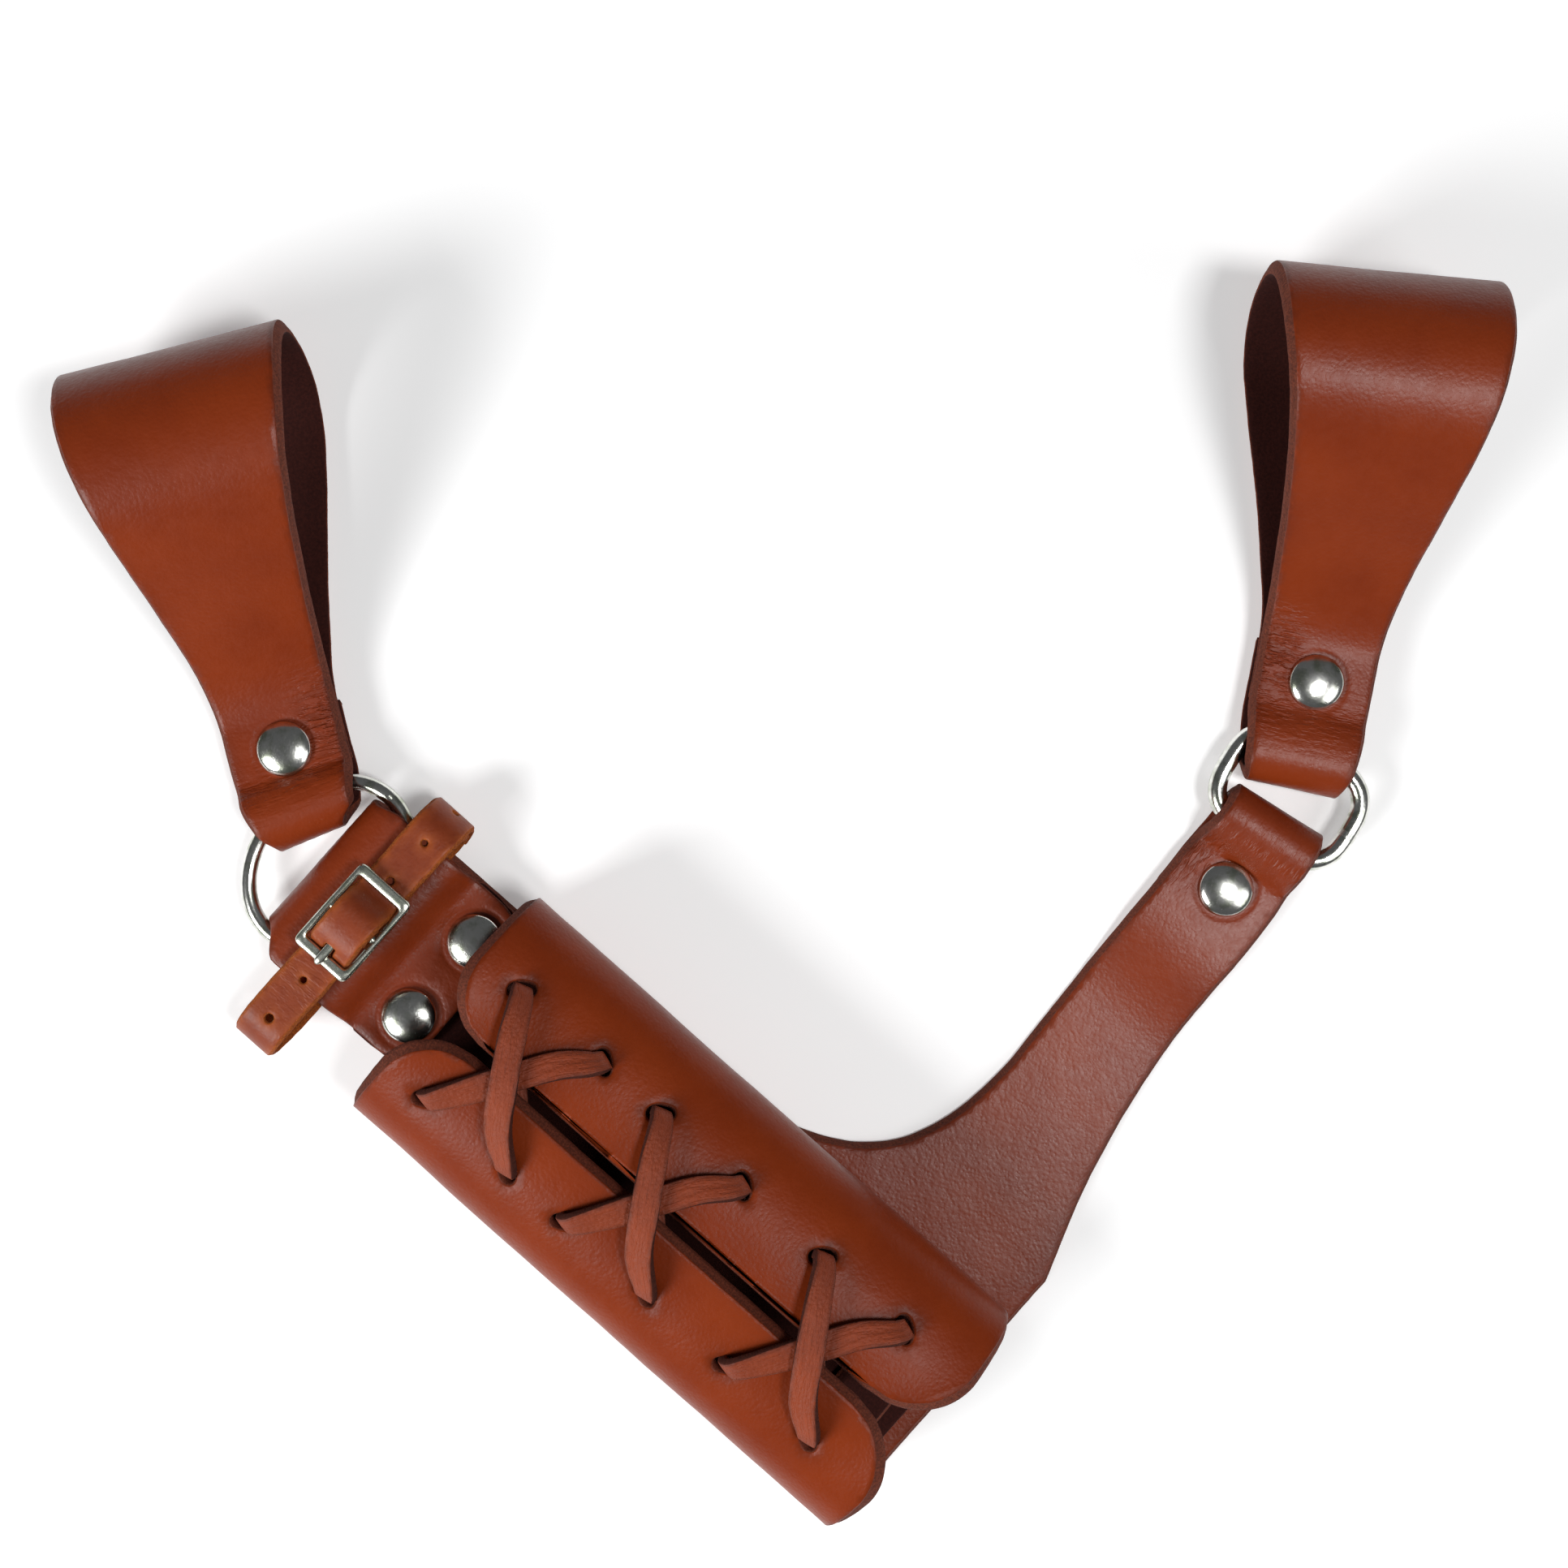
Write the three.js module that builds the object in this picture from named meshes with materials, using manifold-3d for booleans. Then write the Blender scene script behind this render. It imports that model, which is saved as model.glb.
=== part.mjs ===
// A leather scabbard hanger, lying on its back: an L-shaped back strap folded round two steel rings,
// a laced sleeve riveted on it, two belt loops on the rings and a small buckled strap.
// Millimetres, +Z up. In the hanger's own frame x runs down the sleeve and y across it.
import * as THREE from 'three';
import { mergeVertices } from 'three/addons/utils/BufferGeometryUtils.js';
import Module from 'manifold-3d';

const wasm = await Module();
wasm.setup();

// Stock and fits
const LEATHER = 3.0; // thickness of the main leather
const FIT = 0.3; // gap between two pieces that touch
const HANGER_TURN = -41.6; // degrees, sleeve line against the object's x

// Back strap
const PANEL_HALF = 20.2; // half the width of the stem under the sleeve
const PANEL_MID = 0.8; // its middle line
const PANEL_LOW = 70.5; // its lower end
const STEM_FOLD_LINE = -104.6; // outside of the fold at the left ring
const STEM_FOLD_SIDE = 0.55; // room beside the fold inside the left ring
const STEM_SPACE = 3.8; // half the height inside the fold, for the left ring's wire
const ARM_HALF = 12.3; // half the width of the side arm
const ARM_MID = 43.2; // its middle line
const ARM_BEND_START = 108.0; // where it begins to lean
const ARM_BEND_LENGTH = 37.0;
const ARM_LEAN = 9.8; // degrees at its end
const ARM_FOLD_SIDE = 1.45; // room beside the fold inside the right ring
const ARM_SPACE = 3.3; // half the height inside the fold, for the right ring's wire
const ARM_RETURN = 28.0; // length of the tail folded back
const FOOT_CORNER = 36.6; // where the arm's outer edge meets the lower end

// Rings: length along the fold, width across it, how square they are and their wire's diameter
const LEFT_RING = { length: 41.6, width: 33.6, square: 2.0, wire: 3.4 };
const RIGHT_RING = { length: 33.5, width: 26.4, square: 3.0, wire: 4.0 };
const STEM_FOLD_PAST_RING = 2.0; // fold line past the left ring's centre
const LEFT_RING_SIDE = 1.8; // the left ring's centre beside the stem's middle line
const ARM_FOLD_SHORT = 3.2; // fold line short of the right ring's centre
const RING_STEPS = 44;
const WIRE_SIDES = 12;

// Belt loops: lean is their turn against the ring, sweep how much they bend on the way up and bend
// the length it takes; corners is how much the fold is narrower at its two ends
const LEFT_LOOP = {
  lean: -25.0, sweep: -9.0, bend: 20.0, fold: 6.2, rivet: 19.7, half: 10.8, corners: [1.7, 3.3], hand: 'left',
};
const RIGHT_LOOP = {
  lean: 19.3, sweep: 7.0, bend: 104.0, fold: 1.5, rivet: 22.9, half: 11.5, corners: [0.8, 0.8], hand: 'right',
};
const LOOP_CORNER = 4.0; // length of the fold's narrower corners
const LOOP_NARROW = 25.4;
const LOOP_WIDE = 50.6;
const LOOP_FLARE_START = 5.0; // above the rivet
const LOOP_FLARE_END = 81.0;
const LOOP_TOP = 61.0; // centre of the round top above the rivet
const LOOP_DEPTH = 45.0;
const LOOP_BACK_END = 6.0; // back layer's end below the rivet
const LOOP_RETURN_END = 8.0; // ring tail's end above the rivet
const LOOP_PRESS = 5.3; // pressed flat round the rivet
const LOOP_MEET = 125.0; // degrees round the top at which the front sheet leaves it
const LOOP_EASE_LOW = 14.0; // ease of the front sheet's rise, from the rivet and into the round top
const LOOP_EASE_HIGH = 20.0;
const LOOP_STEP = 18.0; // length of the back layer's step over the tail

// Sleeve
const SLEEVE_LENGTH = 131.0;
const SLEEVE_WIDTH = 56.6;
const SLEEVE_HEIGHT = 35.0;
const SLEEVE_SQUARE = 2.4; // how flat its crown is
const SLEEVE_FLAT = 18.5; // half the flat of its back wall
const SEAM_Y = -1.0;
const SEAM_GAP = 2.4;
const FLAP_RADIUS = 17.0;
const TAB_END = -76.4; // top edge of the back wall, between the stem's layers
const TAB_HALF = 21.0;

// Lacing
const LACE_WIDTH = 5.4;
const LACE_THICK = 2.1;
const LACE_BEND_RADIUS = 2.0; // radius of its middle line at a hole
const LACE_CROSSES = [-43.0, -6.2, 36.6]; // middle of each cross along the sleeve
const LACE_HALF_STEP = 10.8; // from a cross's middle to its holes, along the sleeve
const LACE_HOLE_Y = 13.9;
const LACE_TAIL_GAP = 5.0;

// Rivets
const CAP_RADIUS = 5.8;
const CAP_RISE = 2.3;
const CAP_RIM = 0.6;
const POST_RADIUS = 1.6;
const POST_GAP = 0.3;
const BASE_RADIUS = 4.6;
const BASE_THICK = 0.9;
const STEM_RIVET_X = -68.6;
const STEM_RIVET_Y = 10.4; // either side of the stem's middle line
const STEM_FRONT_END = -61.6;
const ARM_RIVET = 20.6; // from the arm's fold line
const FOOT_RIVET_X = 55.0;
const FOOT_RIVET_Y = 9.0;

// Buckled strap
const STRAP_WIDTH = 10.4;
const STRAP_THICK = 1.4;
const STRAP_X = -89.3;
const STRAP_LEFT = -27.3; // centres of its two end bends
const STRAP_RIGHT = 20.7;
const BUCKLE_Y = -1.0;
const BUCKLE_LENGTH = 21.5;
const BUCKLE_SIDE = 1.4;
const BUCKLE_END = 2.4;
const BUCKLE_THICK = 1.8;
const BUCKLE_CORNER = 0.9;
const BUCKLE_LIFT = 2.6; // space under the buckle's strap, above the stem's front
const BAR_RADIUS = 0.9;
const TONGUE_WIDTH = 1.9;
const TONGUE_THICK = 1.2;
const STRAP_HOLE_RADIUS = 0.9;
const STRAP_HOLE_PITCH = 10.6;
const STRAP_HOLES = [-2, -1, 2, 3, 4]; // in pitches from the tongue's hole
const TONGUE_HOLE = [-7.9, -2.9]; // its two ends along the strap, from the buckle's bar
const PUNCH_SIDES = 10;

const rad = THREE.MathUtils.degToRad;
const group = new THREE.Group();
const hanger = new THREE.Group();
hanger.rotation.z = rad(HANGER_TURN);
group.add(hanger);

// Heights of the middle of the first, second and third layer of leather
const LAYER = [0, 1, 2].map((i) => LEATHER / 2 + i * (LEATHER + FIT));
const foldRadius = (space) => LEATHER / 2 + space;
const ringHeight = (space) => LAYER[0] + foldRadius(space);

const finish = (color, roughness, metalness) =>
  new THREE.MeshStandardMaterial({ color, roughness, metalness });
const FINISH = {
  leather: finish('#97401f', 0.5, 0),
  strap: finish('#7c3a20', 0.6, 0),
  lace: finish('#a04e2e', 0.6, 0),
  steel: finish('#b9bab4', 0.25, 1),
};

function addMesh(parent, name, geometry, material) {
  const mesh = new THREE.Mesh(geometry, material);
  mesh.name = name;
  parent.add(mesh);
  return mesh;
}

// Booleans on closed geometries in one frame
function toSolid(geometry) {
  const bare = geometry.clone();
  bare.deleteAttribute('normal');
  bare.deleteAttribute('uv');
  const merged = mergeVertices(bare, 1e-4);
  return new wasm.Manifold(
    new wasm.Mesh({
      numProp: 3,
      vertProperties: new Float32Array(merged.attributes.position.array),
      triVerts: new Uint32Array(merged.index.array),
    }),
  );
}

function toGeometry(solid) {
  const mesh = solid.getMesh();
  const geometry = new THREE.BufferGeometry();
  geometry.setAttribute('position', new THREE.BufferAttribute(new Float32Array(mesh.vertProperties), 3));
  geometry.setIndex(new THREE.BufferAttribute(new Uint32Array(mesh.triVerts), 1));
  geometry.computeVertexNormals();
  return geometry;
}

function combine(first, { add = [], cut = [] }) {
  let solid = toSolid(first);
  for (const geometry of add) {
    solid = solid.add(toSolid(geometry));
  }
  for (const geometry of cut) {
    solid = solid.subtract(toSolid(geometry));
  }
  return toGeometry(solid);
}

// Turns a closed geometry's faces outward
function faceOut(geometry) {
  const position = geometry.attributes.position;
  const index = geometry.index.array;
  const corner = (i) => new THREE.Vector3().fromBufferAttribute(position, index[i]);
  let volume = 0;
  for (let i = 0; i < index.length; i += 3) {
    volume += corner(i).dot(corner(i + 1).cross(corner(i + 2)));
  }
  if (volume < 0) {
    geometry.setIndex(Array.from(index).reverse());
  }
  geometry.computeVertexNormals();
  return geometry;
}

// A strip of leather as a row of four-cornered sections. Each station has its middle point, the
// unit directions of its width and thickness, and its reach to both sides.
function stripGeometry(stations, thickness) {
  const positions = [];
  const index = [];
  for (const { point, across, normal, left, right } of stations) {
    for (const [side, level] of [[-left, -1], [right, -1], [right, 1], [-left, 1]]) {
      const corner = point.clone().addScaledVector(across, side);
      corner.addScaledVector(normal, (level * thickness) / 2);
      positions.push(corner.x, corner.y, corner.z);
    }
  }
  const quad = (a, b, c, d) => index.push(a, b, c, a, c, d);
  for (let i = 0; i + 1 < stations.length; i++) {
    for (let k = 0; k < 4; k++) {
      const next = (k + 1) % 4;
      quad(4 * i + k, 4 * i + next, 4 * i + 4 + next, 4 * i + 4 + k);
    }
  }
  const last = 4 * (stations.length - 1);
  quad(3, 2, 1, 0);
  quad(last, last + 1, last + 2, last + 3);
  const geometry = new THREE.BufferGeometry();
  geometry.setAttribute('position', new THREE.Float32BufferAttribute(positions, 3));
  geometry.setIndex(index);
  return faceOut(geometry);
}

// Points and normals of a side profile, in (run, height)
function profileFrames(points) {
  return points.map((point, i) => {
    const before = points[Math.max(i - 1, 0)];
    const after = points[Math.min(i + 1, points.length - 1)];
    const tangent = after.clone().sub(before).normalize();
    return { point, normal: new THREE.Vector2(-tangent.y, tangent.x) };
  });
}

// A strip whose side profile is laid along a carrier, a flat line that gives a place and a
// direction for each run. A normal in the profile keeps its slant on the carrier.
function carriedStrip(profile, carrier, reach, thickness = LEATHER) {
  const stations = profileFrames(profile).map(({ point, normal }) => {
    const { place, along } = carrier(point.x);
    const across = new THREE.Vector3(along.y, -along.x, 0);
    const lean = new THREE.Vector3(along.x, along.y, 0).multiplyScalar(normal.x);
    const { left, right } = reach(point.x, point.y);
    return {
      point: new THREE.Vector3(place.x, place.y, point.y),
      across,
      normal: lean.setZ(normal.y).normalize(),
      left,
      right,
    };
  });
  return stripGeometry(stations, thickness);
}

// A carrier that starts at a place under an angle and turns evenly; before run 0 it is straight
function arcCarrier(start, angle, turn, length) {
  return (run) => {
    const bent = THREE.MathUtils.clamp(run, 0, length);
    const part = (turn * bent) / length;
    const chord = part === 0 ? bent : (bent * Math.sin(part / 2)) / (part / 2);
    const mid = angle + part / 2;
    const place = start.clone().add(new THREE.Vector2(Math.cos(mid), Math.sin(mid)).multiplyScalar(chord));
    const along = new THREE.Vector2(Math.cos(angle + part), Math.sin(angle + part));
    place.addScaledVector(along, run - bent);
    return { place, along };
  };
}

const smooth = (x, from, to) => THREE.MathUtils.smoothstep(x, from, to);

// A ring of wire: a squared oval, long side along x, in its own plane
function ringGeometry({ length, width, square, wire }) {
  const a = (length - wire) / 2;
  const b = (width - wire) / 2;
  const rows = [];
  for (let i = 0; i < RING_STEPS; i++) {
    const t = (2 * Math.PI * i) / RING_STEPS;
    const power = (value) => Math.sign(value) * Math.abs(value) ** (2 / square);
    rows.push(new THREE.Vector2(a * power(Math.cos(t)), b * power(Math.sin(t))));
  }
  const positions = [];
  const index = [];
  rows.forEach((row, i) => {
    const before = rows[(i + RING_STEPS - 1) % RING_STEPS];
    const after = rows[(i + 1) % RING_STEPS];
    const tangent = after.clone().sub(before).normalize();
    for (let k = 0; k < WIRE_SIDES; k++) {
      const angle = (2 * Math.PI * k) / WIRE_SIDES;
      const out = (Math.cos(angle) * wire) / 2;
      positions.push(row.x + tangent.y * out, row.y - tangent.x * out, (Math.sin(angle) * wire) / 2);
      const nextRow = ((i + 1) % RING_STEPS) * WIRE_SIDES;
      const next = (k + 1) % WIRE_SIDES;
      const here = i * WIRE_SIDES;
      index.push(here + k, nextRow + k, nextRow + next, here + k, nextRow + next, here + next);
    }
  });
  const geometry = new THREE.BufferGeometry();
  geometry.setAttribute('position', new THREE.Float32BufferAttribute(positions, 3));
  geometry.setIndex(index);
  return faceOut(geometry);
}

// A double-capped rivet at a place, through leather whose top face is at the given height
const RIVET_SIDES = 20;
const CAP_STEPS = 6;
function rivetHole(x, y, height) {
  const hole = new THREE.CylinderGeometry(
    POST_RADIUS + POST_GAP, POST_RADIUS + POST_GAP, 2 * height + 2 * LEATHER, RIVET_SIDES);
  hole.rotateX(Math.PI / 2);
  hole.translate(x, y, 0);
  return hole;
}

function rivetPocket(x, y) {
  const pocket = new THREE.CylinderGeometry(
    BASE_RADIUS + POST_GAP, BASE_RADIUS + POST_GAP, 2 * (BASE_THICK + FIT), RIVET_SIDES);
  pocket.rotateX(Math.PI / 2);
  pocket.translate(x, y, 0);
  return pocket;
}

function latheUpright(points) {
  const geometry = new THREE.LatheGeometry(points, RIVET_SIDES);
  geometry.rotateX(Math.PI / 2);
  return geometry;
}

function addRivet(parent, name, x, y, top) {
  const seat = top + FIT;
  const dome = [new THREE.Vector2(0, BASE_THICK + FIT)];
  dome.push(new THREE.Vector2(POST_RADIUS, BASE_THICK + FIT));
  dome.push(new THREE.Vector2(POST_RADIUS, seat));
  dome.push(new THREE.Vector2(CAP_RADIUS, seat));
  for (let i = 0; i <= CAP_STEPS; i++) {
    const angle = (i / CAP_STEPS) * (Math.PI / 2);
    const radius = i === CAP_STEPS ? 0 : CAP_RADIUS * Math.cos(angle);
    dome.push(new THREE.Vector2(radius, seat + CAP_RIM + (CAP_RISE - CAP_RIM) * Math.sin(angle)));
  }
  addMesh(parent, `${name}_cap`, latheUpright(dome), FINISH.steel).position.set(x, y, 0);
  const base = [
    new THREE.Vector2(0, 0),
    new THREE.Vector2(BASE_RADIUS - BASE_THICK / 2, 0),
    new THREE.Vector2(BASE_RADIUS, BASE_THICK / 2),
    new THREE.Vector2(BASE_RADIUS, BASE_THICK),
    new THREE.Vector2(0, BASE_THICK),
  ];
  addMesh(parent, `${name}_back`, latheUpright(base), FINISH.steel).position.set(x, y, 0);
}

// Back strap, stem: from the lower end up to the left ring, round its wire and down in front
const stemFoldHalf = LEFT_RING.length / 2 - LEFT_RING.wire - STEM_FOLD_SIDE;
const stemFoldX = STEM_FOLD_LINE + LAYER[0] + foldRadius(STEM_SPACE);
const stemFrontZ = 2 * ringHeight(STEM_SPACE) - LAYER[0];
const STEM_FLARE = [-102.3, -97.5]; // where its sides widen
const STEM_JOIN = -60.0; // the flat outline takes over below it
const STEM_FRONT_DROP = [-84.5, -75.2]; // where the front layer comes down to the rivets
const STEM_FRONT_CORNER = 8.0; // radius of the front layer's corners inside the sleeve
const FOLD_STEPS = 8;
const CORNER_STEPS = 5;

function stemProfile() {
  const path = new THREE.Path();
  path.moveTo(STEM_JOIN, LAYER[0]);
  path.lineTo(stemFoldX + LEATHER, LAYER[0]);
  path.lineTo(stemFoldX, LAYER[0]);
  path.absarc(stemFoldX, ringHeight(STEM_SPACE), foldRadius(STEM_SPACE), -Math.PI / 2, Math.PI / 2, true);
  path.lineTo(STEM_FRONT_DROP[0], stemFrontZ);
  const reach = (STEM_FRONT_DROP[1] - STEM_FRONT_DROP[0]) / 2;
  path.bezierCurveTo(
    STEM_FRONT_DROP[0] + reach, stemFrontZ,
    STEM_FRONT_DROP[1] - reach, LAYER[2], STEM_FRONT_DROP[1], LAYER[2]);
  path.lineTo(STEM_FRONT_END - STEM_FRONT_CORNER, LAYER[2]);
  for (let i = 1; i <= CORNER_STEPS; i++) {
    const angle = (i / CORNER_STEPS) * (Math.PI / 2);
    path.lineTo(STEM_FRONT_END - STEM_FRONT_CORNER * (1 - Math.sin(angle)), LAYER[2]);
  }
  return path.getPoints(FOLD_STEPS);
}

const roundIn = (distance, radius) => {
  const short = Math.max(radius - distance, 0);
  return radius - Math.sqrt(radius ** 2 - Math.min(short, radius) ** 2);
};
const stemReach = (run, height) => {
  const corner = height > LAYER[1] ? roundIn(STEM_FRONT_END - run, STEM_FRONT_CORNER) : 0;
  const reach = (side) => THREE.MathUtils.lerp(
    stemFoldHalf + side * LEFT_RING_SIDE, PANEL_HALF, smooth(run, ...STEM_FLARE)) - corner;
  return { left: reach(1), right: reach(-1) };
};
const stemCarrier = (run) => ({ place: new THREE.Vector2(run, PANEL_MID), along: new THREE.Vector2(1, 0) });
const stem = carriedStrip(stemProfile(), stemCarrier, stemReach);

// Back strap, side arm: from the flat outline to the right ring, round its wire and back behind
const armStart = new THREE.Vector2(ARM_MID, ARM_BEND_START);
const armCarrier = arcCarrier(armStart, Math.PI / 2, rad(ARM_LEAN), ARM_BEND_LENGTH);
const armFoldHalf = RIGHT_RING.length / 2 - RIGHT_RING.wire - ARM_FOLD_SIDE;
const armFoldRun = ARM_BEND_LENGTH - LAYER[0] - foldRadius(ARM_SPACE);
const armRivetRun = ARM_BEND_LENGTH - ARM_RIVET;
const armFrontZ = 2 * ringHeight(ARM_SPACE) - LAYER[0];
const ARM_PRESS = 5.2; // flat round the rivet
const FOLD_HOLD = 0.7; // how long a front layer stays up past the ring, of its way down
const FOLD_LAND = 0.34; // how early it lies flat again
const ARM_OVERLAP = 6.0; // laid over the flat outline

function armProfile() {
  const tailRun = ARM_BEND_LENGTH - ARM_RETURN;
  const rise = tailRun - FIT;
  const path = new THREE.Path();
  path.moveTo(-ARM_OVERLAP, LAYER[0]);
  path.lineTo(0, LAYER[0]);
  path.bezierCurveTo(rise / 2, LAYER[0], rise / 2, LAYER[1], rise, LAYER[1]);
  path.lineTo(armRivetRun + ARM_PRESS, LAYER[1]);
  const span = armFoldRun - armRivetRun - ARM_PRESS;
  path.bezierCurveTo(
    armRivetRun + ARM_PRESS + span * FOLD_LAND, LAYER[1],
    armFoldRun - span * FOLD_HOLD, armFrontZ, armFoldRun, armFrontZ);
  path.absarc(armFoldRun, ringHeight(ARM_SPACE), foldRadius(ARM_SPACE), Math.PI / 2, -Math.PI / 2, true);
  path.lineTo(tailRun + LEATHER, LAYER[0]);
  path.lineTo(tailRun, LAYER[0]);
  return path.getPoints(FOLD_STEPS);
}

const armReach = (run) => {
  const half = THREE.MathUtils.lerp(ARM_HALF, armFoldHalf, smooth(run, armRivetRun, armFoldRun));
  return { left: half, right: half };
};
const arm = carriedStrip(armProfile(), armCarrier, armReach);

// Back strap, flat outline: stem, foot and the flared root of the arm
const FLAT_STEPS = 10;
const STEM_LAP = 4.0; // of the flat outline under the stem's strip
const FOOT_SLOPE = [4.5, 13.4]; // how the outer edge leaves the foot's corner
const ARM_FLARE = [2.2, 40.0]; // how it reaches the arm
const CROTCH_SLANT = 2.4; // between the stem and the arm, the inner edge leans by this
const CROTCH_HIGH = 47.0; // and its curve starts this far above the stem
const CROTCH_LOW = [13.0, 3.5]; // ease of the curve down the arm and along the stem
const CROTCH_REACH = [11.0, 51.0];
function flatOutline() {
  const top = PANEL_MID + PANEL_HALF;
  const bottom = PANEL_MID - PANEL_HALF;
  const inner = ARM_MID - ARM_HALF;
  const outer = ARM_MID + ARM_HALF;
  const shape = new THREE.Shape();
  shape.moveTo(STEM_JOIN - STEM_LAP, bottom);
  shape.lineTo(PANEL_LOW, bottom);
  shape.lineTo(PANEL_LOW, FOOT_CORNER);
  shape.bezierCurveTo(
    PANEL_LOW - FOOT_SLOPE[0], FOOT_CORNER + FOOT_SLOPE[1],
    outer + ARM_FLARE[0], ARM_BEND_START - ARM_FLARE[1], outer, ARM_BEND_START);
  shape.lineTo(inner, ARM_BEND_START);
  shape.lineTo(inner + CROTCH_SLANT, top + CROTCH_HIGH);
  shape.bezierCurveTo(
    inner + CROTCH_SLANT, top + CROTCH_LOW[0],
    inner - CROTCH_REACH[0], top + CROTCH_LOW[1], inner - CROTCH_REACH[1], top);
  shape.lineTo(STEM_JOIN - STEM_LAP, top);
  return new THREE.ExtrudeGeometry(shape, { depth: LEATHER, bevelEnabled: false, curveSegments: FLAT_STEPS });
}

const stemRivets = [-1, 1].map((side) => ({ x: STEM_RIVET_X, y: PANEL_MID + side * STEM_RIVET_Y }));
const footRivets = [-1, 1].map((side) => ({ x: FOOT_RIVET_X, y: PANEL_MID + side * FOOT_RIVET_Y }));
const armRivetPlace = armCarrier(armRivetRun).place;
const strapRivets = [...stemRivets, ...footRivets, { x: armRivetPlace.x, y: armRivetPlace.y }];
const strapCuts = strapRivets.flatMap(({ x, y }) => [rivetHole(x, y, LAYER[2] + LEATHER), rivetPocket(x, y)]);
addMesh(hanger, 'back_strap', combine(stem, { add: [flatOutline(), arm], cut: strapCuts }), FINISH.leather);

const frontTop = LAYER[2] + LEATHER / 2;
stemRivets.forEach(({ x, y }, i) => addRivet(hanger, `stem_rivet_${i + 1}`, x, y, frontTop));
footRivets.forEach(({ x, y }, i) => addRivet(hanger, `foot_rivet_${i + 1}`, x, y, LAYER[1] + LEATHER / 2));
addRivet(hanger, 'arm_rivet', armRivetPlace.x, armRivetPlace.y, LAYER[1] + LEATHER / 2);

// Rings
const leftRing = new THREE.Group();
leftRing.position.set(
  STEM_FOLD_LINE + STEM_FOLD_PAST_RING, PANEL_MID + LEFT_RING_SIDE, ringHeight(STEM_SPACE));
leftRing.rotation.z = Math.PI / 2;
hanger.add(leftRing);
addMesh(leftRing, 'left_ring', ringGeometry(LEFT_RING), FINISH.steel);

const armEnd = armCarrier(ARM_BEND_LENGTH + ARM_FOLD_SHORT);
const rightRing = new THREE.Group();
rightRing.position.set(armEnd.place.x, armEnd.place.y, ringHeight(ARM_SPACE));
rightRing.rotation.z = rad(ARM_LEAN);
hanger.add(rightRing);
addMesh(rightRing, 'right_ring', ringGeometry(RIGHT_RING), FINISH.steel);

// Belt loops. Runs count from the rivet, up the loop; the carrier starts at the fold line.
function loopProfile(foldRun, space) {
  const centre = foldRun + LAYER[0] + foldRadius(space);
  const frontZ = 2 * ringHeight(space) - LAYER[0];
  const topRadius = (LOOP_DEPTH - LEATHER) / 2;
  const topZ = LAYER[0] + topRadius;
  const meet = rad(LOOP_MEET);
  const slope = new THREE.Vector2(Math.sin(meet), -Math.cos(meet));
  const start = new THREE.Vector2(LOOP_TOP + topRadius * Math.cos(meet), topZ + topRadius * Math.sin(meet));
  const drop = -LOOP_PRESS - centre;
  const path = new THREE.Path();
  path.moveTo(LOOP_RETURN_END, LAYER[0]);
  path.lineTo(LOOP_RETURN_END - LEATHER, LAYER[0]);
  path.lineTo(centre, LAYER[0]);
  path.absarc(centre, ringHeight(space), foldRadius(space), -Math.PI / 2, Math.PI / 2, true);
  path.bezierCurveTo(
    centre + drop * FOLD_HOLD, frontZ, -LOOP_PRESS - drop * FOLD_LAND, LAYER[2], -LOOP_PRESS, LAYER[2]);
  path.lineTo(LOOP_PRESS, LAYER[2]);
  path.bezierCurveTo(
    LOOP_PRESS + LOOP_EASE_LOW, LAYER[2],
    start.x - LOOP_EASE_HIGH * slope.x, start.y - LOOP_EASE_HIGH * slope.y, start.x, start.y);
  path.absarc(LOOP_TOP, topZ, topRadius, meet, -Math.PI / 2, true);
  path.lineTo(LOOP_RETURN_END + LOOP_STEP, LAYER[0]);
  const step = LOOP_RETURN_END + LOOP_STEP / 2;
  path.bezierCurveTo(step, LAYER[0], step, LAYER[1], LOOP_RETURN_END, LAYER[1]);
  path.lineTo(-LOOP_BACK_END, LAYER[1]);
  return path.getPoints(FOLD_STEPS);
}

function addLoop(ring, space, { lean, sweep, bend, fold, rivet, half, corners, hand }) {
  const loop = new THREE.Group();
  loop.rotation.z = rad(lean);
  loop.position.z = -ringHeight(space);
  ring.add(loop);
  const base = arcCarrier(new THREE.Vector2(0, fold), Math.PI / 2, rad(sweep), bend);
  const carrier = (run) => base(run + rivet);
  const reach = (run) => {
    const narrow = THREE.MathUtils.lerp(half, LOOP_NARROW / 2, smooth(run, LAYER[0] - rivet, -LOOP_BACK_END));
    const wide = THREE.MathUtils.lerp(narrow, LOOP_WIDE / 2, smooth(run, LOOP_FLARE_START, LOOP_FLARE_END));
    const corner = 1 - smooth(run + rivet, LAYER[0], LOOP_CORNER);
    return { left: wide - corners[0] * corner, right: wide - corners[1] * corner };
  };
  const strip = carriedStrip(loopProfile(-rivet, space), carrier, reach);
  const { place } = carrier(0);
  const cut = [rivetHole(place.x, place.y, frontTop), rivetPocket(place.x, place.y)];
  addMesh(loop, `${hand}_belt_loop`, combine(strip, { cut }), FINISH.leather);
  addRivet(loop, `${hand}_loop_rivet`, place.x, place.y, frontTop);
}

addLoop(leftRing, STEM_SPACE, LEFT_LOOP);
addLoop(rightRing, ARM_SPACE, RIGHT_LOOP);

// Sleeve: its middle line in (y, z), from one flap's edge round the back to the other
const sleeveHalf = (SLEEVE_WIDTH - LEATHER) / 2;
const sleeveRise = (SLEEVE_HEIGHT - LEATHER) / 2;
const sleeveMidZ = LAYER[1] + sleeveRise;

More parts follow.
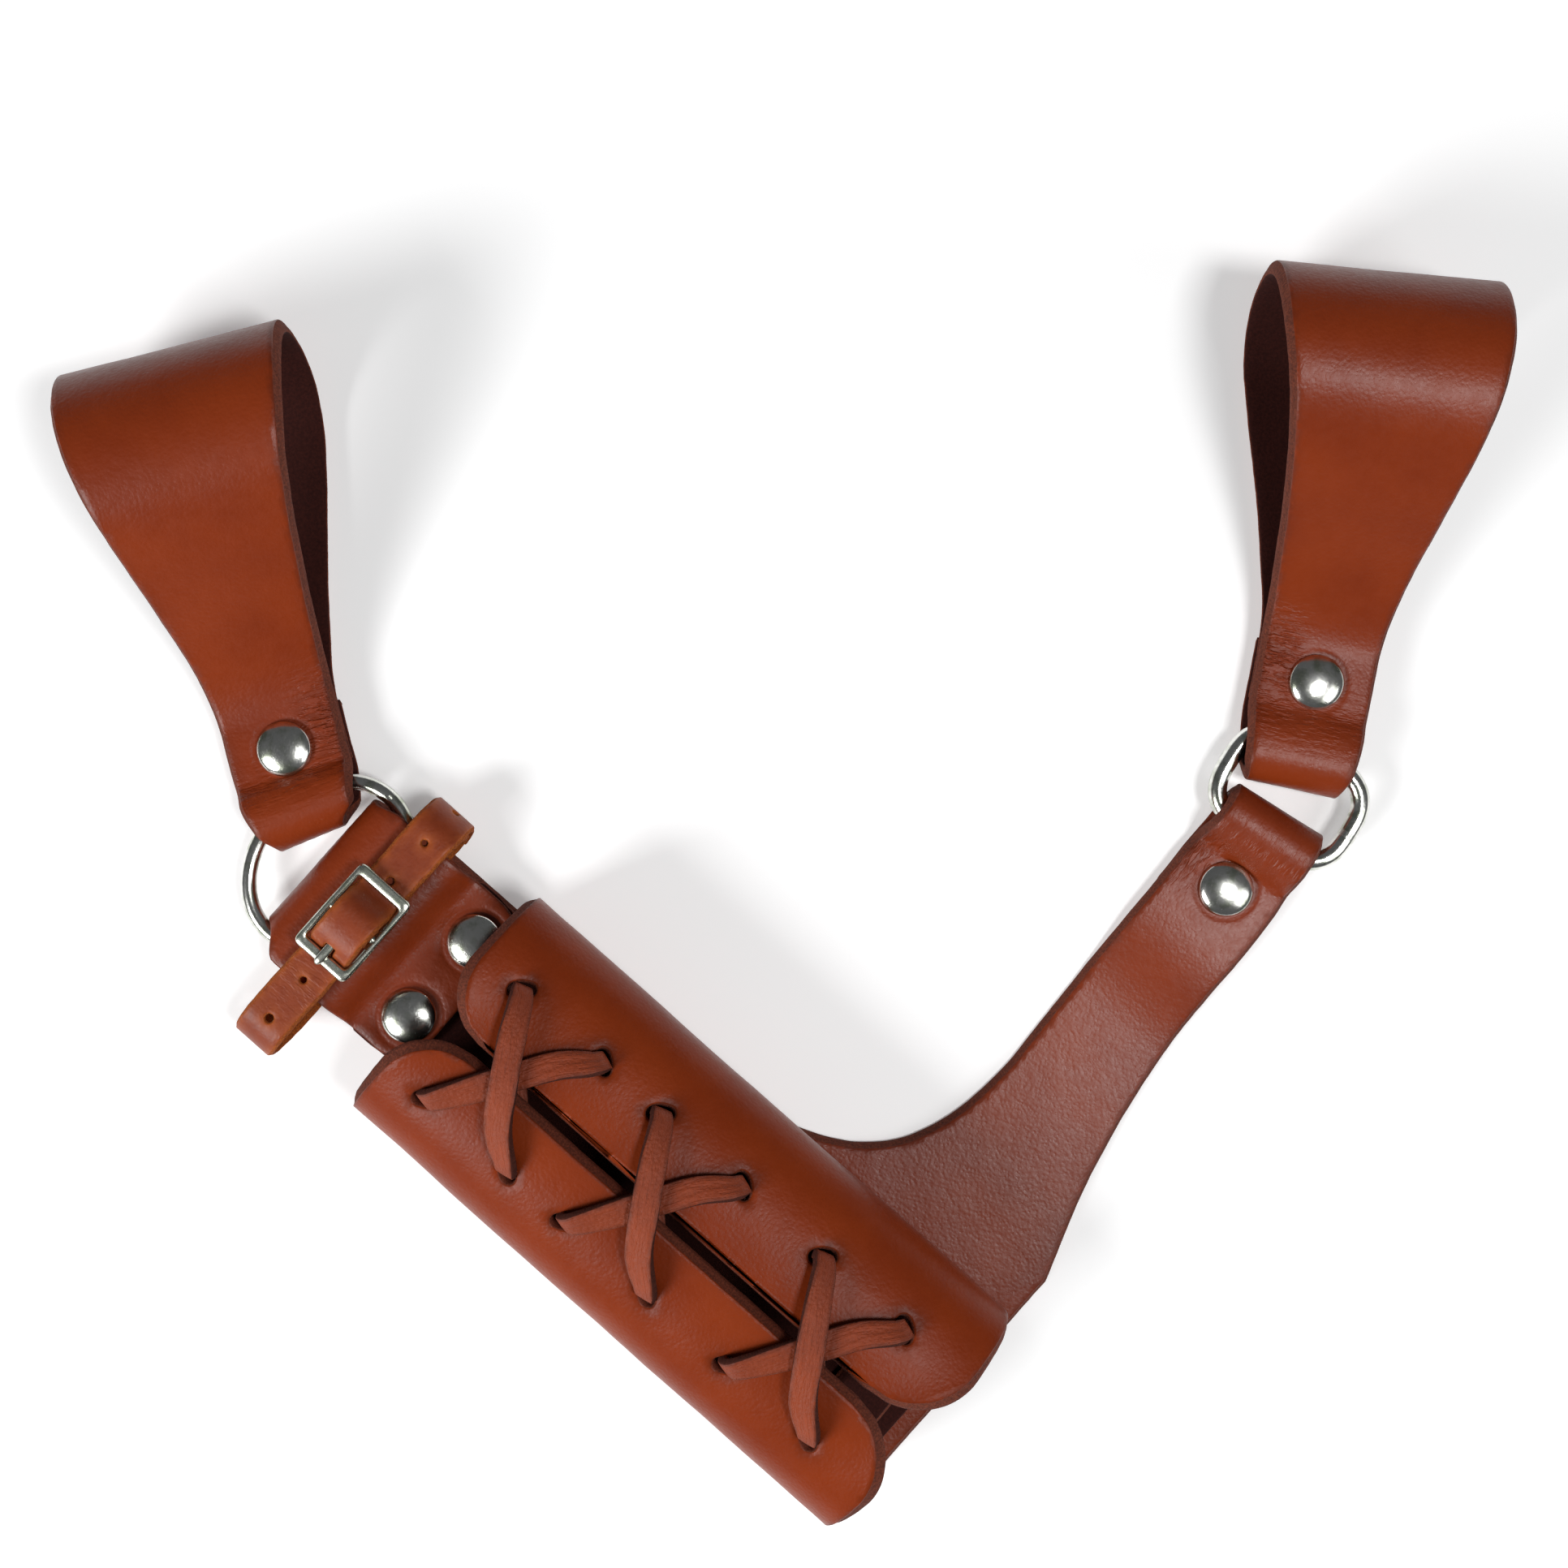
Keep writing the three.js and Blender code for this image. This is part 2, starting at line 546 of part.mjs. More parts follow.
function crownPoint(y, offset = 0) {
  const share = Math.min(Math.abs(y) / sleeveHalf, 1);
  const z = sleeveRise * (1 - share ** SLEEVE_SQUARE) ** (1 / SLEEVE_SQUARE);
  const normal = new THREE.Vector2(
    Math.sign(y) * (share ** (SLEEVE_SQUARE - 1) / sleeveHalf),
    (z / sleeveRise) ** (SLEEVE_SQUARE - 1) / sleeveRise,
  ).normalize();
  return new THREE.Vector2(y, sleeveMidZ + z).addScaledVector(normal, offset);
}

const CROWN_STEPS = 15;
const SIDE_STEPS = 7;
function sleeveGirth() {
  const crown = (from, sign) => {
    const points = [];
    const limit = Math.acos((Math.abs(from) / sleeveHalf) ** (SLEEVE_SQUARE / 2));
    for (let i = 0; i <= CROWN_STEPS; i++) {
      const angle = limit * (1 - i / CROWN_STEPS);
      points.push(crownPoint(sign * sleeveHalf * Math.cos(angle) ** (2 / SLEEVE_SQUARE)));
    }
    return points;
  };
  const quarter = (sign) => {
    const points = [];
    for (let i = 1; i <= SIDE_STEPS; i++) {
      const angle = (i / SIDE_STEPS) * (Math.PI / 2);
      const y = SLEEVE_FLAT + (sleeveHalf - SLEEVE_FLAT) * Math.cos(angle);
      points.push(new THREE.Vector2(sign * y, sleeveMidZ - sleeveRise * Math.sin(angle)));
    }
    return points;
  };
  const right = [...crown(SEAM_Y + SEAM_GAP / 2, 1), ...quarter(1)];
  const left = [...crown(SEAM_Y - SEAM_GAP / 2, -1), ...quarter(-1)];
  return [...right, ...left.reverse()];
}

function sleeveGeometry() {
  const girth = sleeveGirth();
  const runs = [0];
  for (let i = 1; i < girth.length; i++) {
    runs.push(runs[i - 1] + girth[i].distanceTo(girth[i - 1]));
  }
  const total = runs[runs.length - 1];
  const stations = profileFrames(girth).map(({ point, normal }, i) => {
    const end = SLEEVE_LENGTH / 2 - roundIn(Math.min(runs[i], total - runs[i]), FLAP_RADIUS);
    return {
      point: new THREE.Vector3(0, point.x, point.y),
      across: new THREE.Vector3(1, 0, 0),
      normal: new THREE.Vector3(0, -normal.x, -normal.y),
      left: end,
      right: end,
    };
  });
  return stripGeometry(stations, LEATHER);
}

function tabGeometry() {
  const from = TAB_END;
  const to = -SLEEVE_LENGTH / 2 + LEATHER;
  const tab = new THREE.BoxGeometry(to - from, 2 * TAB_HALF, LEATHER);
  tab.translate((from + to) / 2, PANEL_MID, LAYER[1]);
  return tab;
}

// Lacing: each cross has an upper pass and a lower one, joined by a pass inside the sleeve
const wall = LEATHER / 2;
const passOffset = wall + LACE_BEND_RADIUS;

function laceHole(x, y, direction) {
  const shape = new THREE.Shape();
  const half = LACE_THICK / 2 + FIT;
  const reach = LACE_WIDTH / 2 + FIT;
  shape.moveTo(-half, -reach);
  shape.lineTo(half, -reach);
  shape.lineTo(half, reach);
  shape.lineTo(-half, reach);
  const depth = 4 * LEATHER;
  const hole = new THREE.ExtrudeGeometry(shape, { depth, bevelEnabled: false });
  hole.translate(0, 0, -depth / 2);
  hole.rotateZ(Math.atan2(direction.y, direction.x));
  const on = crownPoint(y);
  const above = crownPoint(y, 1);
  hole.rotateX(-Math.atan2(above.x - on.x, above.y - on.y));
  hole.translate(x, on.x, on.y);
  return hole;
}

const passA = new THREE.Vector2(LACE_HALF_STEP, -LACE_HOLE_Y).normalize();
const passB = new THREE.Vector2(LACE_HALF_STEP, LACE_HOLE_Y).normalize();
const laceHoles = LACE_CROSSES.flatMap((x) => [
  laceHole(x - LACE_HALF_STEP, LACE_HOLE_Y, passA),
  laceHole(x + LACE_HALF_STEP, -LACE_HOLE_Y, passA),
  laceHole(x + LACE_HALF_STEP, LACE_HOLE_Y, passB),
  laceHole(x - LACE_HALF_STEP, -LACE_HOLE_Y, passB),
]);

const sleeveCuts = [...stemRivets, ...footRivets].map(({ x, y }) => rivetHole(x, y, frontTop));
const sleeve = combine(sleeveGeometry(), { add: [tabGeometry()], cut: [...laceHoles, ...sleeveCuts] });
addMesh(hanger, 'sleeve', sleeve, FINISH.leather);

// How high a pass that lies over another has come, at shares of the way from the cross's middle
const PASS_RISE = [[0.5, 0.75], [0, 1], [-0.5, 0.75]];
const LACE_STEPS = 3; // stations from one knot to the next

// One lace: its middle line as knots (x, y, offset from the sleeve's wall), each with the direction
// of the lace's width in the flat. It goes out at one hole, over to the opposite one, across
// inside, and back over the same way.
function laceKnots(middle) {
  const knots = [];
  const knot = (x, y, offset, width) => knots.push({ x: middle + x, y, offset, width });
  const h = LACE_HALF_STEP;
  const v = LACE_HOLE_Y;
  const flat = new THREE.Vector2(1, 0);
  const lift = LACE_THICK + 2 * FIT;
  const turn = Math.SQRT1_2;
  const hole = (x, y, way, width, order) => {
    const inward = -Math.sign(y);
    const start = LACE_BEND_RADIUS * (1 - turn);
    const list = [
      [x, y + inward * LACE_BEND_RADIUS, -passOffset, flat],
      [x, y + inward * start, -wall - LACE_BEND_RADIUS * turn, flat],
      [x, y, -wall, width],
      [x, y, wall, width],
      [x + way.x * start, y + way.y * start, wall + LACE_BEND_RADIUS * turn, width],
      [x + way.x * LACE_BEND_RADIUS, y + way.y * LACE_BEND_RADIUS, passOffset, width],
    ];
    for (const item of order > 0 ? list : list.reverse()) {
      knot(...item);
    }
  };
  const pass = (x, y, width, height) => {
    const way = new THREE.Vector2(-x, -y).normalize();
    hole(x, y, way, width, 1);
    for (const [share, rise] of PASS_RISE) {
      knot(x * share, y * share, passOffset + height * rise, width);
    }
    hole(-x, -y, way.clone().negate(), width, -1);
  };
  knot(-h, LACE_TAIL_GAP / 2, -passOffset, flat);
  pass(-h, v, new THREE.Vector2(-passA.y, passA.x), lift);
  knot(h, 0, -passOffset, flat);
  pass(h, v, new THREE.Vector2(passB.y, -passB.x), 0);
  knot(-h, -LACE_TAIL_GAP / 2, -passOffset, flat);
  return knots;
}

function laceStations(knots) {
  const place = ({ x, y, offset }) => {
    const point = crownPoint(y, offset);
    return new THREE.Vector3(x, point.x, point.y);
  };
  const points = knots.map(place);
  const curve = new THREE.CatmullRomCurve3(points, false, 'centripetal');
  const total = (knots.length - 1) * LACE_STEPS;
  const stations = [];
  for (let i = 0; i <= total; i++) {
    const t = i / total;
    const span = Math.min(Math.floor(i / LACE_STEPS), knots.length - 2);
    const share = i / LACE_STEPS - span;
    const flat = knots[span].width.clone().lerp(knots[span + 1].width, share);
    const tangent = curve.getTangent(t);
    const across = new THREE.Vector3(flat.x, flat.y, 0);
    across.addScaledVector(tangent, -across.dot(tangent)).normalize();
    const normal = new THREE.Vector3().crossVectors(across, tangent).negate();
    stations.push({
      point: curve.getPoint(t), across, normal, left: LACE_WIDTH / 2, right: LACE_WIDTH / 2,
    });
  }
  return stations;
}

// Least gap of a lace to itself, on points across its faces, past the stretch that bends into them
function laceSelfGap(stations) {
  const rims = stations.map(({ point, across, normal, left, right }) => {
    const points = [];
    for (const side of [-left, -left / 2, 0, right / 2, right]) {
      for (const level of [-LACE_THICK / 2, LACE_THICK / 2]) {
        points.push(point.clone().addScaledVector(across, side).addScaledVector(normal, level));
      }
    }
    return points;
  });
  const runs = [0];
  for (let i = 1; i < stations.length; i++) {
    runs.push(runs[i - 1] + stations[i].point.distanceTo(stations[i - 1].point));
  }
  let gap = Infinity;
  for (let i = 0; i < rims.length; i++) {
    for (let k = i + 1; k < rims.length; k++) {
      if (runs[k] - runs[i] > 3 * LACE_WIDTH) {
        for (const a of rims[i]) {
          for (const b of rims[k]) {
            gap = Math.min(gap, a.distanceTo(b));
          }
        }
      }
    }
  }
  return gap;
}

['upper', 'middle', 'lower'].forEach((name, i) => {
  const stations = laceStations(laceKnots(LACE_CROSSES[i]));
  addMesh(hanger, `lace_${name}`, stripGeometry(stations, LACE_THICK), FINISH.lace);
  console.log(`lace_${name}: least gap to itself ${laceSelfGap(stations).toFixed(2)} mm`);
});

// Buckled strap, in its own frame: x across the strap, y along it, z up. It runs from the end
// folded round the buckle's bar, round the right bend, back between the stem's layers, round the
// left bend, over the bar and again round the right bend.
const stemTop = stemFrontZ + LEATHER / 2;
const strapRise = STRAP_THICK + FIT;
const fixedZ = stemTop + BUCKLE_LIFT;
const freeZ = fixedZ + strapRise;
const buckleZ = freeZ + STRAP_THICK / 2 + FIT + BUCKLE_THICK / 2;
const wrapRadius = BAR_RADIUS + FIT + STRAP_THICK / 2;
const overZ = buckleZ + wrapRadius + strapRise;
const backZ = LEATHER + FIT + STRAP_THICK / 2;
const endBarY = (BUCKLE_LENGTH - BUCKLE_END) / 2;
const riseY = endBarY - BUCKLE_END / 2 - FIT / 2; // where the strap comes up between the bars
const RISE_LOW = 0.62; // how the rise over the bar leaves and ends, as shares of its length
const RISE_HIGH = 0.66;
const STRAP_BEND_STEPS = 10;
const STRAP_TAIL_TURN = 150; // degrees of the outer layer round the right bend
const WRAP_FROM = 4.0; // degrees round the bar at which the folded end stops

function strapProfile() {
  const innerRadius = (fixedZ - backZ) / 2;
  const outerRadius = innerRadius + strapRise;
  const innerMid = fixedZ - innerRadius;
  const leftRadius = (freeZ - backZ) / 2;
  const at = (y) => BUCKLE_Y + y;
  const path = new THREE.Path();
  path.absarc(at(0), buckleZ, wrapRadius, rad(WRAP_FROM), 1.5 * Math.PI, false);
  path.lineTo(at(riseY), fixedZ);
  path.lineTo(STRAP_RIGHT, fixedZ);
  path.absarc(STRAP_RIGHT, innerMid, innerRadius, Math.PI / 2, -Math.PI / 2, true);
  path.lineTo(STRAP_LEFT, backZ);
  path.absarc(STRAP_LEFT, backZ + leftRadius, leftRadius, -Math.PI / 2, -1.5 * Math.PI, true);
  path.lineTo(at(-riseY), freeZ);
  path.bezierCurveTo(at(-riseY * RISE_LOW), freeZ, at(-riseY * RISE_HIGH), overZ, at(0), overZ);
  path.bezierCurveTo(at(riseY * RISE_HIGH), overZ, at(riseY * RISE_LOW), freeZ, at(riseY), freeZ);
  path.lineTo(STRAP_RIGHT, freeZ);
  path.absarc(STRAP_RIGHT, innerMid, outerRadius, Math.PI / 2, Math.PI / 2 - rad(STRAP_TAIL_TURN), true);
  return path.getPoints(STRAP_BEND_STEPS);
}

function sideStrip(profile, thickness, width) {
  const across = new THREE.Vector3(1, 0, 0);
  const stations = profileFrames(profile).map(({ point, normal }) => ({
    point: new THREE.Vector3(STRAP_X, point.x, point.y),
    across,
    normal: new THREE.Vector3(0, normal.x, normal.y),
    left: width / 2,
    right: width / 2,
  }));
  return stripGeometry(stations, thickness);
}

// A round punch across the strap, at a run along its profile
function strapPunch(profile, run) {
  let rest = run;
  let i = 0;
  while (rest > profile[i + 1].distanceTo(profile[i])) {
    rest -= profile[i + 1].distanceTo(profile[i]);
    i += 1;
  }
  const way = profile[i + 1].clone().sub(profile[i]).normalize();
  const at = profile[i].clone().addScaledVector(way, rest);
  const punch = new THREE.CylinderGeometry(
    STRAP_HOLE_RADIUS, STRAP_HOLE_RADIUS, 2 * STRAP_THICK, PUNCH_SIDES);
  punch.rotateX(Math.atan2(way.y, way.x));
  punch.translate(STRAP_X, at.x, at.y);
  return punch;
}

const strapPath = strapProfile();
const tongueRun = (() => {
  const y = BUCKLE_Y + (TONGUE_HOLE[0] + TONGUE_HOLE[1]) / 2;
  let run = 0;
  let found = 0;
  for (let i = 1; i < strapPath.length; i++) {
    const [before, after] = [strapPath[i - 1], strapPath[i]];
    if (before.x < y && after.x >= y && after.y > freeZ) {
      found = run;
    }
    run += after.distanceTo(before);
  }
  return found;
})();

const slotHalf = TONGUE_WIDTH / 2 + FIT;
const tongueSlot = new THREE.BoxGeometry(
  2 * slotHalf, TONGUE_HOLE[1] - TONGUE_HOLE[0], overZ + STRAP_THICK - (freeZ - STRAP_THICK));
tongueSlot.translate(
  STRAP_X, BUCKLE_Y + (TONGUE_HOLE[0] + TONGUE_HOLE[1]) / 2, (overZ + freeZ) / 2);
const eyeRadius = BAR_RADIUS + FIT + TONGUE_THICK;
const eyeTop = overZ - STRAP_THICK / 2 - FIT / 2;
const eyeBottom = buckleZ - eyeRadius - FIT;
const eyeSlot = new THREE.BoxGeometry(2 * slotHalf, 2 * (eyeRadius + 2 * FIT), eyeTop - eyeBottom);
eyeSlot.translate(STRAP_X, BUCKLE_Y, (eyeTop + eyeBottom) / 2);
const strapHoles = STRAP_HOLES.map((step) => strapPunch(strapPath, tongueRun + step * STRAP_HOLE_PITCH));
addMesh(hanger, 'buckle_strap', combine(sideStrip(strapPath, STRAP_THICK, STRAP_WIDTH), {
  cut: [tongueSlot, eyeSlot, ...strapHoles],
}), FINISH.strap);

// Buckle: a flat frame with a round bar across its middle
function buckleFrame() {
  const halfX = STRAP_WIDTH / 2 + FIT + BUCKLE_SIDE;
  const halfY = BUCKLE_LENGTH / 2;
  const outline = new THREE.Shape();
  outline.moveTo(-halfX + BUCKLE_CORNER, -halfY);
  outline.lineTo(halfX - BUCKLE_CORNER, -halfY);
  outline.quadraticCurveTo(halfX, -halfY, halfX, -halfY + BUCKLE_CORNER);
  outline.lineTo(halfX, halfY - BUCKLE_CORNER);
  outline.quadraticCurveTo(halfX, halfY, halfX - BUCKLE_CORNER, halfY);
  outline.lineTo(-halfX + BUCKLE_CORNER, halfY);
  outline.quadraticCurveTo(-halfX, halfY, -halfX, halfY - BUCKLE_CORNER);
  outline.lineTo(-halfX, -halfY + BUCKLE_CORNER);
  outline.quadraticCurveTo(-halfX, -halfY, -halfX + BUCKLE_CORNER, -halfY);
  const window = new THREE.Path();
  const innerX = halfX - BUCKLE_SIDE;
  const innerY = halfY - BUCKLE_END;
  window.moveTo(-innerX, -innerY);
  window.lineTo(-innerX, innerY);
  window.lineTo(innerX, innerY);
  window.lineTo(innerX, -innerY);
  window.lineTo(-innerX, -innerY);
  outline.holes.push(window);
  const frame = new THREE.ExtrudeGeometry(outline, { depth: BUCKLE_THICK, bevelEnabled: false });
  frame.translate(0, 0, -BUCKLE_THICK / 2);
  const bar = new THREE.CylinderGeometry(BAR_RADIUS, BAR_RADIUS, 2 * innerX + BUCKLE_SIDE, WIRE_SIDES);
  bar.rotateZ(Math.PI / 2);
  return combine(frame, { add: [bar] });
}
addMesh(hanger, 'buckle_frame', buckleFrame(), FINISH.steel).position.set(STRAP_X, BUCKLE_Y, buckleZ);

const EYE_STEPS = 8;
// Tongue: an eye round the bar and a shank that rests on the frame's end
function tongueGeometry() {
  const seat = BUCKLE_THICK / 2 + FIT;
  const eye = new THREE.Shape();
  eye.absarc(0, 0, eyeRadius, 0, 2 * Math.PI, false);
  const bore = new THREE.Path();
  bore.absarc(0, 0, BAR_RADIUS + FIT, 0, 2 * Math.PI, false);
  eye.holes.push(bore);
  const shank = new THREE.Shape();
  shank.moveTo(-BAR_RADIUS - 2 * FIT, -FIT);
  shank.lineTo(-BAR_RADIUS - 2 * FIT, eyeRadius - FIT);
  shank.lineTo(-endBarY + BUCKLE_END / 2, seat + TONGUE_THICK);
  shank.lineTo(-endBarY - BUCKLE_END / 2, seat + TONGUE_THICK);
  shank.lineTo(-endBarY - BUCKLE_END / 2, seat);
  shank.lineTo(-endBarY + BUCKLE_END / 2, seat);
  const options = { depth: TONGUE_WIDTH, bevelEnabled: false, curveSegments: EYE_STEPS };
  const place = (geometry) => {
    geometry.translate(0, 0, -TONGUE_WIDTH / 2);
    geometry.applyMatrix4(new THREE.Matrix4().makeBasis(
      new THREE.Vector3(0, 1, 0), new THREE.Vector3(0, 0, 1), new THREE.Vector3(1, 0, 0)));
    return geometry;
  };
  return combine(place(new THREE.ExtrudeGeometry(eye, options)), {
    add: [place(new THREE.ExtrudeGeometry(shank, options))],
  });
}
addMesh(hanger, 'buckle_tongue', tongueGeometry(), FINISH.steel).position.set(STRAP_X, BUCKLE_Y, buckleZ);

// Stand on z = 0 with the origin under the middle of the box
const box = new THREE.Box3().setFromObject(group, true);
const centre = box.getCenter(new THREE.Vector3());
hanger.position.set(-centre.x, -centre.y, -box.min.z);

export default group;
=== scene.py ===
from bisect import bisect_right
from math import acos, atan2, ceil, copysign, cos, exp, hypot, pi, radians, sin, sqrt, tan, tau

import bmesh
import bpy
from mathutils import Matrix, Quaternion, Vector, kdtree, noise
from mathutils.geometry import delaunay_2d_cdt, interpolate_bezier


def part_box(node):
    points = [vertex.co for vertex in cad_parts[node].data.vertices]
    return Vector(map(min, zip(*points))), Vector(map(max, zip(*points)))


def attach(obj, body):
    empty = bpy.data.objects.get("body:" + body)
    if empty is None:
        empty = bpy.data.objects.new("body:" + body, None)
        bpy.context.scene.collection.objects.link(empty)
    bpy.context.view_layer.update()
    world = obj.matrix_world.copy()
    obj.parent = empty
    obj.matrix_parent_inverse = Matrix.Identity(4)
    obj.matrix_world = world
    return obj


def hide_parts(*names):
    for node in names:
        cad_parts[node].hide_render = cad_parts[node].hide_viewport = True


# A leather scabbard hanger laid on its back on a pale table. Shapes are worked out in millimetres in
# the hanger's own frame, x down the sleeve and y across it, and become metres in make_mesh.
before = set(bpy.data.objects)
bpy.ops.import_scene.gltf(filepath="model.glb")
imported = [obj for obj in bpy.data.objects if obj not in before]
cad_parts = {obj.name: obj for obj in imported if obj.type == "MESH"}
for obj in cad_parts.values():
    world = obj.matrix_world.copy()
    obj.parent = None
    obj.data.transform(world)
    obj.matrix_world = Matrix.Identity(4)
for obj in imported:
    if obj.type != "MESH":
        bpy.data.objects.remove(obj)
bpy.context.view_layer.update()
MM = 0.001

# Sizes. A ring's square is the power of its outline, and a belt loop's lean and sweep are degrees.
LEATHER = 3.0
FIT = 0.3
HANGER_TURN = radians(-41.6)
LAYER = [LEATHER / 2 + i * (LEATHER + FIT) for i in range(3)]

PANEL_HALF = 20.2
PANEL_MID = 0.8
PANEL_LOW = 70.5
STEM_FOLD_LINE = -104.6
STEM_FOLD_HALF = 16.85
STEM_SPACE = 3.8
STEM_FLARE = (-102.3, -97.5)
STEM_JOIN = -60.0
STEM_FRONT_DROP = (-84.5, -75.2)
STEM_FRONT_END = -61.6
STEM_FRONT_CORNER = 8.0
ARM_HALF = 12.3
ARM_MID = 43.2
ARM_BEND_START = 108.0
ARM_EASE = 22.0
ARM_BEND_LENGTH = 37.0
ARM_LEAN = radians(9.8)
ARM_FOLD_HALF = 11.3
ARM_SPACE = 3.3
ARM_RETURN = 28.0
ARM_RIVET = 20.6
ARM_PRESS = 5.2
FOOT_CORNER = 36.6
FOOT_SLOPE = (4.5, 13.4)
ARM_FLARE = (2.2, 40.0)
CROTCH_SLANT = 2.4
CROTCH_HIGH = 47.0
CROTCH_LOW = (13.0, 3.5)
CROTCH_REACH = (11.0, 51.0)
FOLD_HOLD = 0.7
FOLD_LAND = 0.34

LEFT_RING = {"length": 41.6, "width": 33.6, "square": 2.0, "wire": 3.4}
RIGHT_RING = {"length": 33.5, "width": 26.4, "square": 3.0, "wire": 4.0}
STEM_FOLD_PAST_RING = 2.0
LEFT_RING_SIDE = 1.8
ARM_FOLD_SHORT = 3.2

LEFT_LOOP = {
    "lean": -25.0, "sweep": -9.0, "bend": 20.0, "fold": 6.2, "rivet_run": 19.7, "half": 10.8,
    "corners": (1.7, 3.3), "wide": (22.0, 25.3)}
RIGHT_LOOP = {
    "lean": 19.3, "sweep": 7.0, "bend": 104.0, "fold": 1.5, "rivet_run": 22.9, "half": 11.5,
    "corners": (0.8, 0.8), "wide": (25.3, 22.0)}
LOOP_CORNER = 4.0
LOOP_NARROW = 12.7
LOOP_FLARE = (5.0, 81.0)
LOOP_TOP = 61.0
LOOP_DEPTH = 45.0
LOOP_BACK_END = 6.0
LOOP_RETURN_END = 8.0
LOOP_PRESS = 5.3
LOOP_MEET = radians(125)
LOOP_EASE = (14.0, 20.0)
LOOP_STEP = 18.0

SLEEVE_LENGTH = 131.0
SLEEVE_WIDTH = 56.6
SLEEVE_HEIGHT = 35.0
SLEEVE_SQUARE = 2.4
SLEEVE_FLAT = 18.5
SEAM_Y = -1.0
SEAM_GAP = 1.7
FLAP_SLANT = 1.3
MOUTH_RADIUS = 13.5
FOOT_RADIUS = 16.5
CURL_REACH = 15.0
CURL_SIDE = 27.0
FLAP_CURL = 3.0
CUT_SLANT = 0.9
TAB_END = -76.4
TAB_HALF = 21.0
TAB_FLATTEN = 7.0
SLEEVE_SAG = 0.35

LACE_WIDTH = 5.4
LACE_THICK = 2.1
LACE_BEND = 2.0
LACE_CROSSES = {"upper": -43.0, "middle": -6.2, "lower": 36.6}
LACE_HALF_STEP = 10.8
LACE_HOLE_Y = 13.9
LACE_SLOT = (1.7, 2.9)
LACE_SLOT_POWER = 2.3
LACE_TAIL_GAP = 17.0
LACE_ARCH = 0.8
LACE_SLACK = 3.0
LACE_BOWS = ((-0.75, -0.66, (0.7, 1.4, 1.6)), (-0.66, 0.75, (1.3, 0.9, 0.2)))
LACE_ROLL = radians(34)

CAP_RADIUS = 5.8
CAP_RISE = 2.3
BACK_RADIUS = 4.6
BACK_THICK = 0.9
CAP_SINK = 0.1
CAP_LIP = 0.3
CAP_ROLL = 0.25
CAP_STEPS = 14
CAP_TURN = 0.7
NECK_RADIUS = 3.0
STEM_RIVET = (-68.6, 10.4)
FOOT_RIVET = (55.0, 9.0)
FOOT_STRIP_THICK = 1.6
FOOT_STRIP_BOX = (-6.5, -17.5, 6.5, 19.0)
FOOT_STRIP_CLEAR = 0.3
FOOT_STRIP_DIP = 0.6
FOOT_STRIP_HUMP = 7.0

STRAP_WIDTH = 10.4
STRAP_THICK = 1.4
STRAP_X = -89.3
STRAP_LEFT = -27.3
STRAP_RIGHT = 20.7
STRAP_TAIL_TURN = radians(150)
STRAP_HOLE_RADIUS = 0.9
STRAP_HOLE_PITCH = 10.6
STRAP_HOLES = (-2, -1, 2, 3, 4)
TONGUE_HOLE = (-8.1, -6.0)
RISE_LOW = 0.62
RISE_HIGH = 0.66
STEEP_LOW = 0.92
STEEP_HIGH = 0.96
WRAP_FROM = radians(4)
BUCKLE_Y = -1.0
BUCKLE_LENGTH = 21.5
BUCKLE_SIDE = 1.4
BUCKLE_END = 2.4
BUCKLE_THICK = 1.8
BUCKLE_LIFT = 2.6
BUCKLE_CORNER = 1.6
BAR_RADIUS = 0.9
TONGUE_WIDTH = 1.9
TONGUE_THICK = 1.2


UP = Vector((0, 0, 1))


def vectors(*points):
    return [Vector(p) for p in points]


def clamp(value, low, high):
    return min(max(value, low), high)


def lerp(a, b, share):
    return a + (b - a) * share


def smooth(value, low, high):
    share = clamp((value - low) / (high - low), 0, 1)
    return share * share * (3 - 2 * share)


def round_turns(count):
    return [tau * k / count for k in range(count)]


def bell(value, width):
    return exp(-((value / width) ** 2))


def round_in(distance, radius):
    """How far a rounded corner stands back, a distance from the end."""
    short = clamp(radius - distance, 0, radius)
    return radius - sqrt(radius**2 - short**2)


def wobble(x, y, z, size, seed=0.0):
    """Smooth noise between about -1 and 1 with waves of the given size."""
    return noise.noise(Vector((x / size + seed, y / size - seed, z / size + 3.7 * seed)))


def waves(x, y):
    """How far a sheet's face lies off its even shape, as a share of its wave."""
    return wobble(x, y, 0, 16.0, 1.3) + 0.4 * wobble(x, y, 0, 6.0, 4.4)


def ragged(point, loop):
    """How far a cut line strays from its drawn shape, as a share of its roughness."""
    return wobble(point.x, point.y, loop, 9.0, 2.1) + 0.6 * wobble(point.x, point.y, loop, 2.2, 5.3)


# Side profiles and how sheets follow them
PATH_STEP = 0.5
TANGENT_REACH = 0.4


